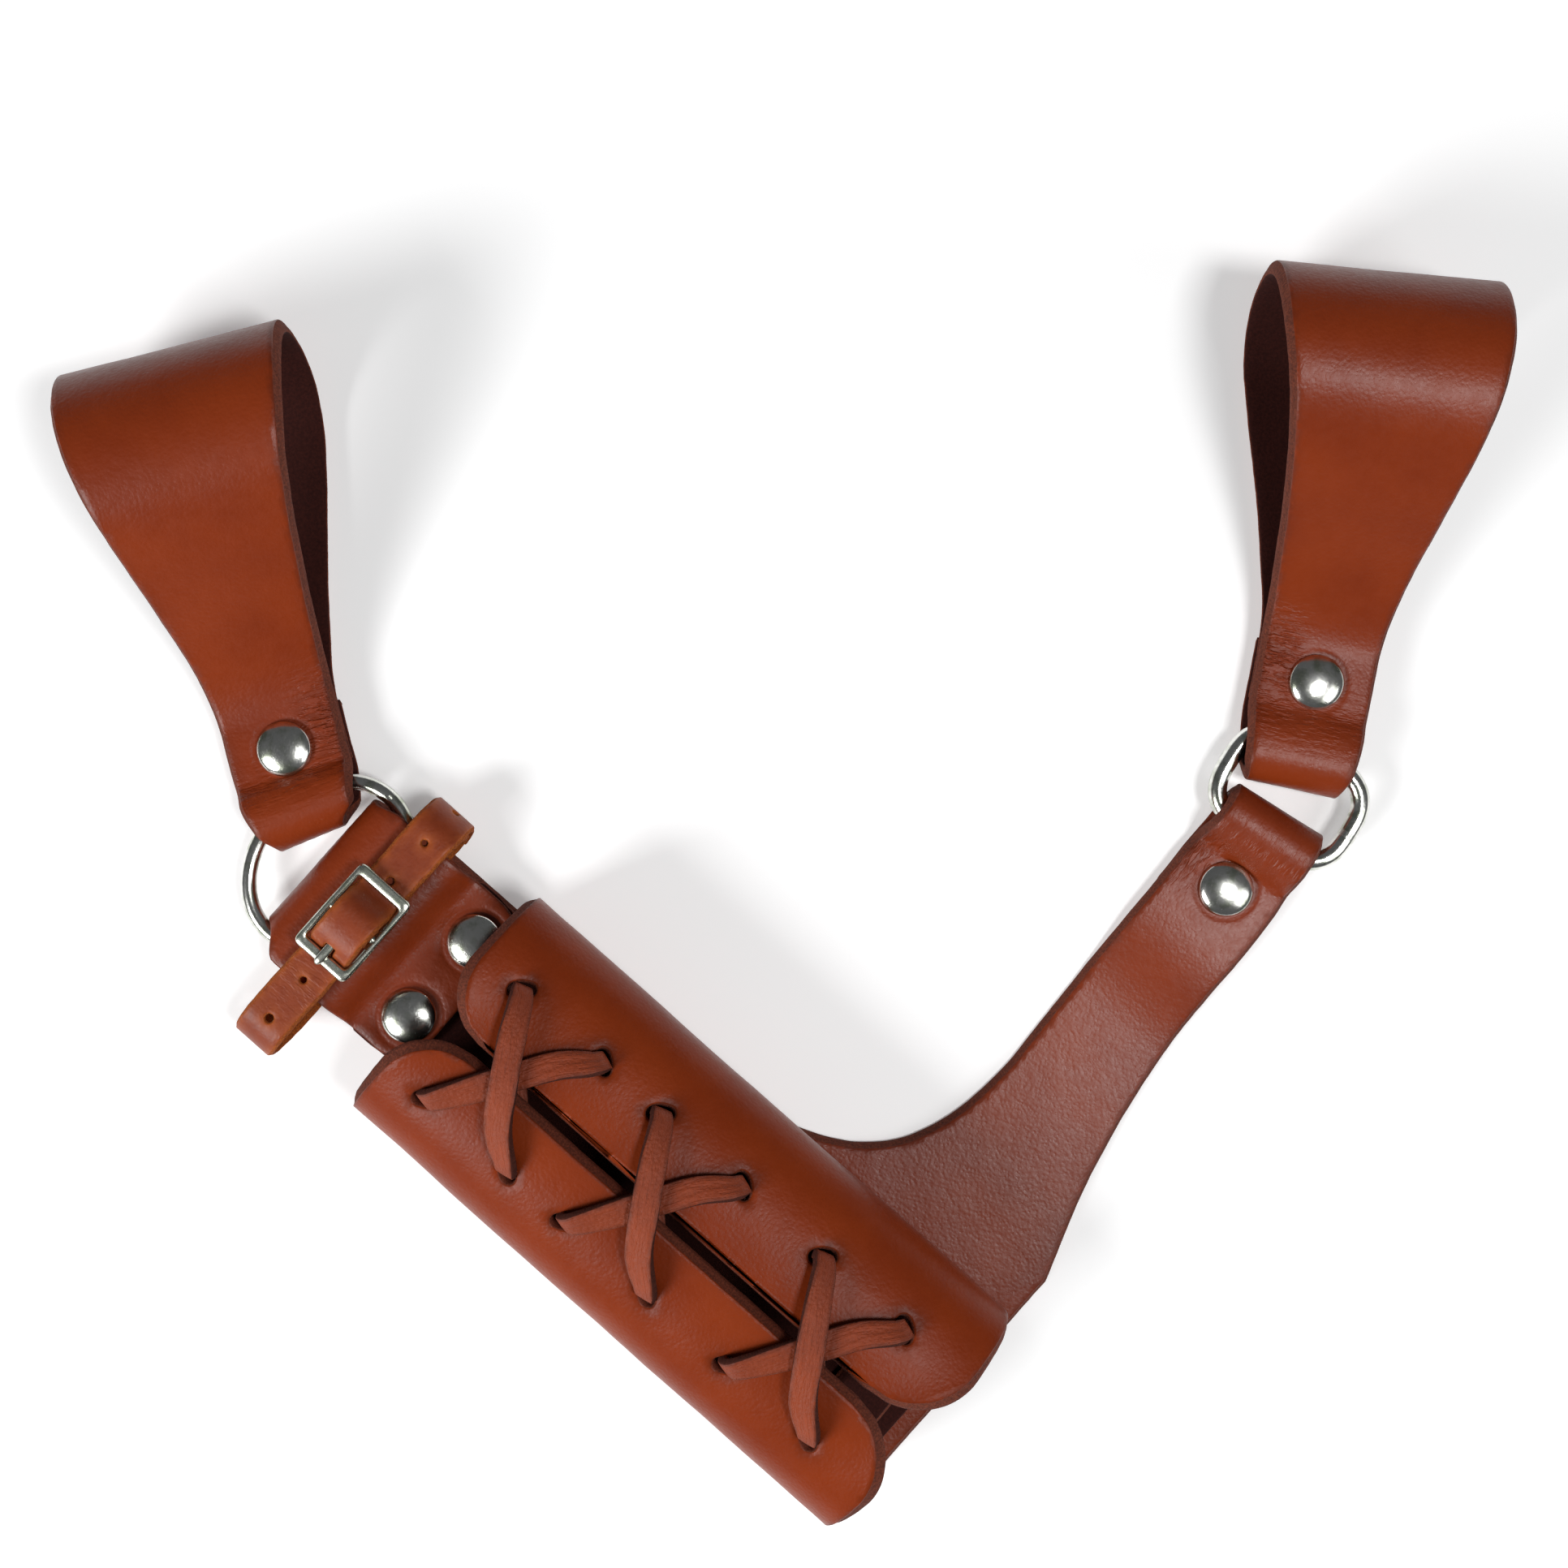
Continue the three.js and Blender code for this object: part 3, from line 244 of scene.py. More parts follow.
class Path:
    """A side profile as a dense line of points, read by its length."""

    def __init__(self, x, y, points=()):
        self.points = [Vector((x, y))]
        self.through(points)

    def through(self, points):
        self.points += [p for p in points if (p - self.points[-1]).length > 1e-4]
        return self

    def line(self, x, y):
        start, end = self.points[-1], Vector((x, y))
        steps = ceil((end - start).length / PATH_STEP)
        return self.through([start.lerp(end, (i + 1) / steps) for i in range(steps)])

    def arc(self, x, y, radius, start, end):
        steps = ceil(radius * abs(end - start) / PATH_STEP)
        turns = [lerp(start, end, i / steps) for i in range(steps + 1)]
        return self.through([Vector((x + radius * cos(t), y + radius * sin(t))) for t in turns])

    def curve(self, *numbers):
        a, (b, c, d) = self.points[-1], [Vector(numbers[i : i + 2]) for i in (0, 2, 4)]
        steps = ceil(((b - a).length + (c - b).length + (d - c).length) / PATH_STEP)
        return self.through([Vector(p[:2]) for p in interpolate_bezier(a, b, c, d, steps + 1)])

    def measure(self):
        self.lengths = [0.0]
        for before, after in zip(self.points, self.points[1:]):
            self.lengths.append(self.lengths[-1] + (after - before).length)
        self.total = self.lengths[-1]
        return self

    def spot(self, length):
        i = clamp(bisect_right(self.lengths, length) - 1, 0, len(self.points) - 2)
        a, b = self.points[i], self.points[i + 1]
        return a + (b - a) * ((length - self.lengths[i]) / (self.lengths[i + 1] - self.lengths[i]))

    def at(self, length):
        way = self.spot(length + TANGENT_REACH) - self.spot(length - TANGENT_REACH)
        return self.spot(length), way.normalized()

    def runs(self, count):
        """Lengths evenly apart, from the start to the end."""
        return [self.total * i / count for i in range(count + 1)]

    def length_where(self, test, after=0.0):
        """Length of the first point past a length that passes the test."""
        return next(s for point, s in zip(self.points, self.lengths) if s > after and test(point))


def arc_carrier(start, angle, turn, length):
    """Gives a place and a direction in the flat for each run: straight, evenly turned, straight."""

    def carrier(run):
        bent = clamp(run, 0, length)
        part = turn * bent / length
        chord = bent if part == 0 else bent * sin(part / 2) / (part / 2)
        middle = angle + part / 2
        along = Vector((cos(angle + part), sin(angle + part)))
        place = start + Vector((cos(middle), sin(middle))) * chord + along * (run - bent)
        return place, along

    return carrier


def carried(path, carrier):
    """Bends a flat sheet (s along the path, t to its right) into place, with the outer side's normal."""

    def bend(s, t):
        spot, tangent = path.at(s)
        place, along = carrier(spot.x)
        point = Vector((place.x + along.y * t, place.y - along.x * t, spot.y))
        return point, Vector((-tangent.y * along.x, -tangent.y * along.y, tangent.x))

    return bend


def strip_outline(path, reach):
    """The flat cut of a strip from its reach to the left and right at each (run, height)."""
    left, right = [], []
    for s in path.runs(round(path.total)):
        a, b = reach(*path.spot(s))
        left.append(Vector((s, -a)))
        right.append(Vector((s, b)))
    return left + right[::-1]


# Flat cuts
SHARP_TURN = radians(20)
CORNER_SHARE = 0.49  # the most of a side that one rounded corner takes


def rectangle(left, low, right, high):
    return vectors((left, low), (right, low), (right, high), (left, high))


def soften(points, radius):
    """Rounds the sharp corners of a closed line."""
    out = []
    for before, here, after in zip(points[-1:] + points, points, points[1:] + points[:1]):
        before, after = before - here, after - here
        turn = pi - before.angle(after, pi)
        if turn < SHARP_TURN:
            out.append(here)
            continue
        cut = radius * tan(turn / 2)
        a, b = [here + way * min(cut / way.length, CORNER_SHARE) for way in (before, after)]
        out += [a.lerp(here, s).lerp(here.lerp(b, s), s) for s in (0, 0.2, 0.4, 0.6, 0.8, 1)]
    return out


def resample(points, step):
    """A closed line, anticlockwise, with points evenly about a step apart."""
    area = sum(a.x * b.y - b.x * a.y for a, b in zip(points, points[1:] + points[:1]))
    path = Path(*points[0], points[1:] + points[:1] if area > 0 else points[::-1]).measure()
    count = max(round(path.total / step), 8)
    return [path.spot(path.total * i / count) for i in range(count)]


def outward(loop):
    """Outward normals of a closed anticlockwise line."""
    ways = [(loop[(i + 1) % len(loop)] - loop[i - 1]).normalized() for i in range(len(loop))]
    return [Vector((way.y, -way.x)) for way in ways]


def tree_of(points):
    tree = kdtree.KDTree(len(points))
    for i, point in enumerate(points):
        tree.insert((point.x, point.y, 0), i)
    tree.balance()
    return tree


def grid_inside(loops, pitch, clearance, keep):
    """Points of a triangular grid inside the first loop and outside the others."""
    tree = tree_of([p for loop in loops for p in loop] + keep)
    low = min(p.y for p in loops[0])
    high = max(p.y for p in loops[0])
    rise = pitch * sqrt(3) / 2
    found = []
    for row in range(ceil((high - low) / rise)):
        y = low + (row + 0.5) * rise
        cross = []
        for loop in loops:
            for a, b in zip(loop, loop[1:] + loop[:1]):
                if (a.y > y) != (b.y > y):
                    cross.append(a.x + (b.x - a.x) * (y - a.y) / (b.y - a.y))
        cross.sort()
        for start, end in zip(cross[::2], cross[1::2]):
            column = ceil(start / pitch)
            while (column + (row % 2) / 2) * pitch < end:
                x = (column + (row % 2) / 2) * pitch
                if x > start and tree.find((x, y, 0))[2] > clearance:
                    found.append(Vector((x, y)))
                column += 1
    return found


def add_object(name, data):
    obj = bpy.data.objects.new(name, data)
    bpy.context.scene.collection.objects.link(obj)
    return obj


def make_mesh(name, points, faces, slots, materials, matrix, blank, edge, crease):
    """An object from points in millimetres. Each point's attributes are its place on the flat blank,
    how near it is to a cut edge and how wrinkled it is."""
    mesh = bpy.data.meshes.new(name)
    mesh.from_pydata([(matrix @ p) * MM for p in points], [], faces)
    for material in materials:
        mesh.materials.append(material)
    mesh.polygons.foreach_set("material_index", slots)
    flat = [c for place in blank for c in place]
    mesh.attributes.new("blank", "FLOAT_VECTOR", "POINT").data.foreach_set("vector", flat)
    for key, values in (("edge", edge), ("crease", crease)):
        mesh.attributes.new(key, "FLOAT", "POINT").data.foreach_set("value", values)
    build = bmesh.new()
    build.from_mesh(mesh)
    bmesh.ops.recalc_face_normals(build, faces=build.faces)
    build.to_mesh(mesh)
    build.free()
    mesh.polygons.foreach_set("use_smooth", [True] * len(mesh.polygons))
    return add_object(name, mesh)


EDGE_RINGS = ((0.0, 0.5), (0.17, 0.17), (0.5, 0.0))  # distance in from the cut edge, drop of the face
SLANT_REACH = 2.4
CUT_DEPTH = 0.2
CUT_CROWN = 0.13
WORN_REACH = 1.1
MARK_TURNS = round_turns(40)


def cut_sheet(
        name, outline, bend, materials, matrix, thickness=LEATHER, holes=(), pitch=1.7, corner=1.2,
        rough=0.1, wave=0.12, slant=CUT_SLANT, marks=(), crease=None, rings=EDGE_RINGS, step=1.0):
    """A sheet of leather or metal cut flat and bent into place, with rounded edges. Its materials are
    for the top, the bottom and the cut. Marks are round dents (s, t, radius, [(distance past the
    radius, height)], face), and crease gives how wrinkled the sheet is at (s, t). The outer cut
    slants, so the top face ends a little short of the bottom one."""
    loops = [resample(soften(outline, corner), step)]
    loops += [resample(hole, step * 0.6) for hole in holes]
    for i, loop in enumerate(loops):
        for point, out in zip(loop, outward(loop)):
            point += out * ragged(point, i) * rough
    flat, level, edges, outlines = [], [], [], []
    signs = [1] + [-1] * (len(loops) - 1)
    for loop, sign in zip(loops, signs):
        out = outward(loop)
        for depth, drop in rings:
            ring = list(range(len(flat), len(flat) + len(loop)))
            flat += [p - n * depth * sign for p, n in zip(loop, out)]
            level += [(depth, drop)] * len(loop)
            edges += zip(ring, ring[1:] + ring[:1])
            if depth == 0:
                outlines.append(ring)
    extra = []
    for s, t, radius, rises, _ in marks:
        for past, _ in rises:
            away = radius + past
            extra += [Vector((s + away * cos(a), t + away * sin(a))) for a in MARK_TURNS]
    inner = extra + grid_inside(loops, pitch, rings[-1][0] + 0.5 * pitch, extra)
    flat += inner
    level += [None] * len(inner)
    found, _, faces, origins, _, owners = delaunay_2d_cdt(flat, edges, outlines, 0, 1e-5, True)
    tree = tree_of([p for loop in loops for p in loop])
    ways = [out * (slant if loop is loops[0] else 0) for loop in loops for out in outward(loop)]
    count = len(found)
    top, bottom, blank, edge, wrinkle, on_cut = [], [], [], [], [], []
    place = {}
    for i, point in enumerate(found):
        s, t = point
        first = origins[i][0] if origins[i] else None
        known = level[first] if first is not None else None
        on_cut.append(known is not None and known[0] < CUT_DEPTH)
        _, nearest, away = tree.find((s, t, 0))
        depth, drop = known or (away, 0.0)
        back = ways[nearest] * max(1 - depth / SLANT_REACH, 0)
        if first is not None:
            place[first] = i
        at, normal = bend(s, t)
        lift = wave * waves(s, t)
        dents = [0.0, 0.0]
        for x, y, radius, rises, side in marks:
            dents[side < 0] += read_rises(hypot(s - x, t - y) - radius, rises)
        half = thickness / 2 - drop
        face, face_normal = bend(s - back.x, t - back.y)
        top.append(face + face_normal * (half + lift + dents[0]))
        bottom.append(at - normal * (half - lift + dents[1]))
        blank.append((s, t, 0.0))
        edge.append(exp(-depth / WORN_REACH))
        wrinkle.append(crease(s, t) if crease else 0.0)
    points = top + bottom
    shapes, slots = [], []
    hole_ids = set(range(1, len(loops)))
    for face, owner in zip(faces, owners):
        if 0 not in owner or hole_ids & set(owner):
            continue
        a, b, c = face
        shapes += [(a, b, c), (c + count, b + count, a + count)]
        slots += [2, 2] if all(on_cut[k] for k in face) else [0, 1]
    for ring, loop, sign in zip(outlines, loops, signs):
        middle = []
        out_by = CUT_CROWN * sign - (slant / 2 if sign > 0 else 0)
        for point, way in zip(loop, outward(loop)):
            at, _ = bend(*(point + way * out_by))
            _, normal = bend(*point)
            middle.append(len(points))
            points.append(at + normal * (wave * waves(*point)))
            blank.append((point.x, point.y, 1.0))
            edge.append(1.0)
            wrinkle.append(0.0)
        for k in range(len(ring)):
            a, b = place[ring[k]], place[ring[(k + 1) % len(ring)]]
            m, n = middle[k], middle[(k + 1) % len(ring)]
            shapes += [(a, b, n, m), (m, n, b + count, a + count)]
            slots += [2, 2]
    blank = blank[:count] + [(s, t, 2.0) for s, t, _ in blank[:count]] + blank[count:]
    edge, wrinkle = [values[:count] * 2 + values[count:] for values in (edge, wrinkle)]
    return make_mesh(name, points, shapes, slots, materials, matrix, blank, edge, wrinkle)


def read_rises(past, rises):
    """Height of a round mark at a distance past its radius."""
    if past <= rises[0][0]:
        return rises[0][1]
    for (a, low), (b, high) in zip(rises, rises[1:]):
        if past <= b:
            return lerp(low, high, (past - a) / (b - a))
    return 0.0


SIDE_SHARE = 0.94
LATHE_SIDES = 48


def sweep(name, stations, section, materials, matrix, closed=False, crease=0.0):
    """A body swept along stations of (point, across, normal, scale), through a section's (x, y). Where
    there are two materials, the second is for the section's sides."""
    points, shapes, slots, blank, edge = [], [], [], [], []
    size = len(section)
    run = 0.0
    for i, (point, across, normal, scale) in enumerate(stations):
        if i:
            run += (point - stations[i - 1][0]).length
        for x, y in section:
            points.append(point + across * x * scale[0] + normal * y * scale[1])
            blank.append((run, x * scale[0], 0.0 if y > 0 else 2.0))
            edge.append(smooth(abs(x), 0.6, 1.0) if len(materials) > 1 else 0.0)
    count = len(stations)
    for i in range(count if closed else count - 1):
        for k in range(size):
            n = (k + 1) % size
            here, after = i * size, ((i + 1) % count) * size
            shapes.append((here + k, here + n, after + n, after + k))
            out = min(abs(section[k].x), abs(section[n].x))
            slots.append(int(len(materials) > 1 and out > SIDE_SHARE))
    if not closed:
        shapes += [tuple(range(size)), tuple(range((count - 1) * size, count * size))]
        slots += [0, 0]
    return make_mesh(name, points, shapes, slots, materials, matrix, blank, edge, [crease] * len(points))


def lathe(name, profile, material, matrix):
    """A body turned about its z axis from (radius, height) points that start and end on it."""
    points = [Vector((0, 0, profile[0][1])), Vector((0, 0, profile[-1][1]))]
    shapes = []
    rows = profile[1:-1]
    for radius, height in rows:
        for angle in round_turns(LATHE_SIDES):
            points.append(Vector((radius * cos(angle), radius * sin(angle), height)))
    for k in range(LATHE_SIDES):
        n = (k + 1) % LATHE_SIDES
        last = 2 + (len(rows) - 1) * LATHE_SIDES
        shapes += [(0, 2 + k, 2 + n), (1, last + n, last + k)]
        for i in range(len(rows) - 1):
            a, b = 2 + i * LATHE_SIDES, 2 + (i + 1) * LATHE_SIDES
            shapes.append((a + k, b + k, b + n, a + n))
    none = [0.0] * len(points)
    return make_mesh(name, points, shapes, [0] * len(shapes), [material], matrix, points, none, none)


def placed(matrix, x, y, z, turn=0.0):
    """A frame moved within another and then turned about its own z axis."""
    return matrix @ Matrix.Translation((x, y, z)) @ Matrix.Rotation(turn, 4, "Z")


def piece(obj, body, node):
    """Hands a finished piece to its body in place of a CAD node."""
    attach(obj, body)
    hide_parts(node)


# Shaders
class Value:
    """A shader socket that takes part in sums. Other numbers and sockets may stand on either side."""

    def __init__(self, shader, socket):
        self.shader = shader
        self.socket = socket

    def math(self, operation, *values):
        return self.shader.node("Math", {"operation": operation}, inputs=(self, *values))

    def __add__(self, other):
        return self.math("ADD", other)

    def __sub__(self, other):
        return self.math("SUBTRACT", other)

    def __mul__(self, other):
        return self.math("MULTIPLY", other)

    def __rsub__(self, other):
        return self * -1 + other

    __radd__ = __add__
    __rmul__ = __mul__

    def band(self, low, high):
        """0 below low, 1 above high, smooth between."""
        settings = {"interpolation_type": "SMOOTHSTEP"}
        sockets = {"Value": self, "From Min": low, "From Max": high}
        return self.shader.node("MapRange", settings, output="Result", **sockets)


class Shader:
    """A material on a Principled BSDF, built from nodes that take numbers, colours or sockets."""

    def __init__(self, name, **constants):
        self.material = bpy.data.materials.new(name)
        self.material.use_nodes = True
        self.tree = self.material.node_tree
        self.bsdf = self.tree.nodes["Principled BSDF"]
        for key, value in constants.items():
            self.set(key.replace("_", " "), value)

    def node(self, kind, settings=None, output=0, inputs=(), **sockets):
        node = self.tree.nodes.new("ShaderNode" + kind)
        for key, value in (settings or {}).items():
            setattr(node, key, value)
        for socket, value in zip(node.inputs, inputs):
            self.feed(socket, value)
        for socket in node.inputs:
            if socket.identifier in sockets:
                self.feed(socket, sockets[socket.identifier])
        found = next(s for i, s in enumerate(node.outputs) if output in (i, s.identifier))
        return Value(self, found)

    def feed(self, socket, value):
        if isinstance(value, Value):
            self.tree.links.new(value.socket, socket)
        else:
            socket.default_value = value

    def set(self, name, value):
        self.feed(self.bsdf.inputs[name], value)

    def attribute(self, name, output="Fac"):
        return self.node("Attribute", {"attribute_name": name}, output)

    def noise(self, vector, scale, detail, roughness=0.5):
        sockets = {"Vector": vector, "Scale": scale, "Detail": detail, "Roughness": roughness}
        return self.node("TexNoise", output="Fac", **sockets)

    def cells(self, vector, scale):
        return self.node("TexVoronoi", {"feature": "SMOOTH_F1"}, "Distance", Vector=vector, Scale=scale)

    def mix(self, share, a, b):
        sockets = {"Factor_Float": share, "A_Color": a, "B_Color": b}
        return self.node("Mix", {"data_type": "RGBA"}, "Result_Color", **sockets)

    def stretch(self, vector, factors):
        return self.node("VectorMath", {"operation": "MULTIPLY"}, inputs=(vector, factors))

    def bump(self, height):
        """Bump from a height in millimetres."""
        self.set("Normal", self.node("Bump", Height=height, Strength=1.0, Distance=MM))


# Finishes. Colours are linear, and a pattern's scale is per millimetre of the flat cut.
def grain(name, light, deep, burnish_and_crease_shading, rough=0.37, pebble=0.05, lines=(0.75, 0.17, 0.3), gloss=1.34):
    """The smooth side of dyed leather: cloudy colour, fine pebbles, wrinkles where crease says. The third
    colour tints rubbed edges and, as painted shading of the wrinkles, the creases between their ridges,
    pebble is the pebbles' height, and lines stretches the wrinkles."""
    shader = Shader(name, IOR=gloss)
    blank = shader.attribute("blank", "Vector")
    edge, crease = shader.attribute("edge"), shader.attribute("crease")
    cloud = shader.noise(blank, 0.04, 3.0)
    mottle = shader.noise(blank, 0.4, 3.0)
    cell = shader.cells(blank, 1.5)
    fine = shader.noise(blank, 3.5, 3.0)
    wrinkle = shader.noise(shader.stretch(blank, lines), 1.0, 3.0, 0.6)
    shade = cloud.band(0.3, 0.7) * 0.55 + mottle * 0.3 + fine * 0.15
    colour = shader.mix(shade, deep, light)
    folds = wrinkle.band(0.42, 0.6) * crease
    colour = shader.mix(edge * mottle.band(0.25, 0.6) * 0.75, colour, burnish_and_crease_shading)
    # Painted shading of the wrinkles: creased parts are tinted towards the third colour, away from the ridges
    shader.set("Base Color", shader.mix((crease - folds) * 0.3, colour, burnish_and_crease_shading))
    shader.set("Roughness", mottle * 0.14 + cell * 0.08 + crease * 0.06 + (rough - 0.1))
    shader.bump(cell * pebble + fine * (0.5 * pebble) + folds * 0.3 + mottle * 0.05)
    return shader.material


def fibres(name, light, deep, scale=1.6, height=0.12, rough=0.85):
    """Raw leather, on the flesh side and at cut edges."""
    shader = Shader(name, Roughness=rough, IOR=1.25)
    blank = shader.attribute("blank", "Vector")
    hair = shader.noise(blank, scale, 5.0, 0.7)
    patch = shader.noise(blank, 0.15, 2.0)
    shader.set("Base Color", shader.mix(hair.band(0.35, 0.68) * 0.75 + patch * 0.25, deep, light))
    shader.bump(hair * height)
    return shader.material


def metal(name, bright, dull, rough):
    """Nickel-plated steel with faint tarnish and fine scratches."""
    shader = Shader(name, Metallic=1.0)
    blank = shader.attribute("blank", "Vector")
    stain = shader.noise(blank, 0.35, 3.0)
    scratch = shader.noise(shader.stretch(blank, (1.0, 6.0, 1.0)), 1.4, 3.0, 0.65)
    shader.set("Base Color", shader.mix(stain.band(0.4, 0.7), bright, dull))
    shader.set("Roughness", stain * 0.12 + scratch.band(0.5, 0.75) * 0.1 + rough)
    shader.bump(scratch * 0.012 + stain * 0.03)
    return shader.material


# The same dyed hide, more or less waxed
# Each grain's third colour is for rubbed edges and for the painted shading in creases
DYED = (0.225, 0.0315, 0.0050, 1), (0.160, 0.0200, 0.0036, 1), (0.068, 0.012, 0.0045, 1)
LOOP_GRAIN = grain("loop_grain", *DYED)
BACK_GRAIN = grain("back_strap_grain", *DYED, gloss=1.39)
SLEEVE_GRAIN = grain("sleeve_grain", *DYED, gloss=1.22)
FLESH = fibres("leather_flesh", (0.046, 0.009, 0.006, 1), (0.022, 0.004, 0.003, 1))
CUT = fibres("leather_cut", (0.190, 0.045, 0.022, 1), (0.062, 0.015, 0.009, 1), 2.2, 0.15)
STRAP_GRAIN = grain(
    "strap_grain", (0.265, 0.042, 0.009, 1), (0.130, 0.020, 0.005, 1), (0.36, 0.085, 0.016, 1), 0.45)
STRAP_CUT = fibres("strap_cut", (0.52, 0.135, 0.024, 1), (0.18, 0.040, 0.010, 1), 2.6, 0.3)
STRAPS = [STRAP_GRAIN, STRAP_CUT, STRAP_CUT]
LACE = grain(
    "lace_leather", (0.285, 0.046, 0.010, 1), (0.140, 0.021, 0.006, 1), (0.080, 0.015, 0.006, 1), 0.54, 0.15,
    (0.12, 1.1, 0.4))
LACE_CUT = fibres("lace_cut", (0.090, 0.022, 0.013, 1), (0.035, 0.010, 0.007, 1), 2.4, 0.2)
STEEL = metal("nickel", (0.80, 0.80, 0.76, 1), (0.42, 0.45, 0.36, 1), 0.12)
FRAME_STEEL = metal("buckle_nickel", (0.66, 0.68, 0.60, 1), (0.44, 0.48, 0.38, 1), 0.2)


# The hanger's frame comes from the left ring's place
ring_place = Vector((STEM_FOLD_LINE + STEM_FOLD_PAST_RING, PANEL_MID + LEFT_RING_SIDE, 0))
ring_low, ring_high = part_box("left_ring")
ring_middle = (ring_low + ring_high) / (2 * MM)
ring_middle.z = 0
turned = Matrix.Rotation(HANGER_TURN, 4, "Z")
hanger = Matrix.Translation(ring_middle - turned @ ring_place) @ turned


# Back strap
def fold_radius(space):
    return LEATHER / 2 + space


def ring_height(space):
    return LAYER[0] + fold_radius(space)


def stem_path():
    radius, height = fold_radius(STEM_SPACE), ring_height(STEM_SPACE)
    fold = STEM_FOLD_LINE + LAYER[0] + radius
    front = 2 * height - LAYER[0]
    low, high = STEM_FRONT_DROP
    ease = (high - low) / 2
    path = Path(STEM_JOIN, LAYER[0]).line(fold, LAYER[0])
    path.arc(fold, height, radius, -pi / 2, -1.5 * pi).line(low, front)
    path.curve(low + ease, front, high - ease, LAYER[2], high, LAYER[2])
    return path.line(STEM_FRONT_END, LAYER[2]).measure()


def arm_path():
    radius, height = fold_radius(ARM_SPACE), ring_height(ARM_SPACE)
    tail = ARM_BEND_LENGTH - ARM_RETURN
    rise = tail - FIT
    start = ARM_BEND_LENGTH - ARM_RIVET + ARM_PRESS
    fold = ARM_BEND_LENGTH - LAYER[0] - radius
    front = 2 * height - LAYER[0]
    span = fold - start
    ease = (ARM_EASE + rise) / 2 - ARM_EASE
    path = Path(-ARM_EASE, LAYER[0]).curve(ease, LAYER[0], ease, LAYER[1], rise, LAYER[1])
    path.line(start, LAYER[1])
    path.curve(start + span * FOLD_LAND, LAYER[1], fold - span * FOLD_HOLD, front, fold, front)
    return path.arc(fold, height, radius, pi / 2, -pi / 2).line(tail, LAYER[0]).measure()


stem = stem_path()
arm = arm_path()
arm_carrier = arc_carrier(Vector((ARM_MID, ARM_BEND_START)), pi / 2, ARM_LEAN, ARM_BEND_LENGTH)
arm_bend = carried(arm, arm_carrier)
arm_foot = ARM_BEND_START - ARM_EASE
arm_rivet_run = ARM_BEND_LENGTH - ARM_RIVET


def stem_reach(run, height):
    corner = round_in(STEM_FRONT_END - run, STEM_FRONT_CORNER) if height > LAYER[1] else 0
    share = smooth(run, *STEM_FLARE)
    return [lerp(STEM_FOLD_HALF + side * LEFT_RING_SIDE, PANEL_HALF, share) - corner for side in (1, -1)]


def arm_half(run):
    fold = ARM_BEND_LENGTH - LAYER[0] - fold_radius(ARM_SPACE)
    return lerp(ARM_HALF, ARM_FOLD_HALF, smooth(run, arm_rivet_run, fold))


def back_outline():
    top, bottom = PANEL_MID + PANEL_HALF, PANEL_MID - PANEL_HALF
    inner, outer = ARM_MID - ARM_HALF, ARM_MID + ARM_HALF
    edge = Path(PANEL_LOW, bottom).line(PANEL_LOW, FOOT_CORNER)
    edge.curve(
        PANEL_LOW - FOOT_SLOPE[0], FOOT_CORNER + FOOT_SLOPE[1],
        outer + ARM_FLARE[0], ARM_BEND_START - ARM_FLARE[1], outer, ARM_BEND_START)
    sides = [(arm_foot + s, arm_half(arm.spot(s).x)) for s in arm.runs(90) if s > ARM_EASE]
    edge.through([Vector((ARM_MID + half, y)) for y, half in sides])
    edge.through([Vector((ARM_MID - half, y)) for y, half in sides[::-1]])
    edge.line(inner + CROTCH_SLANT, top + CROTCH_HIGH).curve(
        inner + CROTCH_SLANT, top + CROTCH_LOW[0],
        inner - CROTCH_REACH[0], top + CROTCH_LOW[1], inner - CROTCH_REACH[1], top)
    reaches = [(STEM_JOIN - s, *stem_reach(*stem.spot(s))) for s in stem.runs(120)]
    edge.through([Vector((x, PANEL_MID + left)) for x, left, _ in reaches])
    edge.through([Vector((x, PANEL_MID - right)) for x, _, right in reaches[::-1]])
    return edge.points


def back_bend(x, y):
    if x < STEM_JOIN and y < PANEL_MID + 1.2 * PANEL_HALF:
        spot, tangent = stem.at(STEM_JOIN - x)
        return Vector((spot.x, y, spot.y)), Vector((tangent.y, 0, -tangent.x))
    if y > arm_foot:
        return arm_bend(y - arm_foot, x - ARM_MID)
    return Vector((x, y, LAYER[0])), UP


PRESSED = ((-1.2, -0.12), (0.0, -0.15), (0.5, -0.25), (1.2, 0.0), (2.0, 0.06), (3.2, 0.0))
RINGED = ((-1.2, -0.08), (0.0, -0.08), (1.0, 0.0), (1.35, -0.14), (1.7, 0.0))
stem_rivet_s = stem.length_where(lambda p: p.x >= STEM_RIVET[0] and p.y > LAYER[1])
arm_rivet_s = arm.length_where(lambda p: p.x >= arm_rivet_run)
back_marks = [
    (STEM_JOIN - stem_rivet_s, PANEL_MID + side * STEM_RIVET[1], CAP_RADIUS, RINGED, -1) for side in (-1, 1)]
back_marks.append((ARM_MID, arm_foot + arm_rivet_s, CAP_RADIUS, PRESSED, 1))


# Wrinkles by the arm rivet, where the grain also paints shading between the ridges
def back_crease(x, y):
    up, side = y - arm_foot - arm_rivet_s, x - ARM_MID
    return bell(up - 3, 7) * smooth(-side, 3, 10) * 0.9 + 0.25 * bell(up - 12, 5)


back_strap = cut_sheet(
    "back_strap_leather", back_outline(), back_bend, [BACK_GRAIN, BACK_GRAIN, CUT], hanger,
    marks=back_marks, crease=back_crease)
piece(back_strap, "hanger", "back_strap")


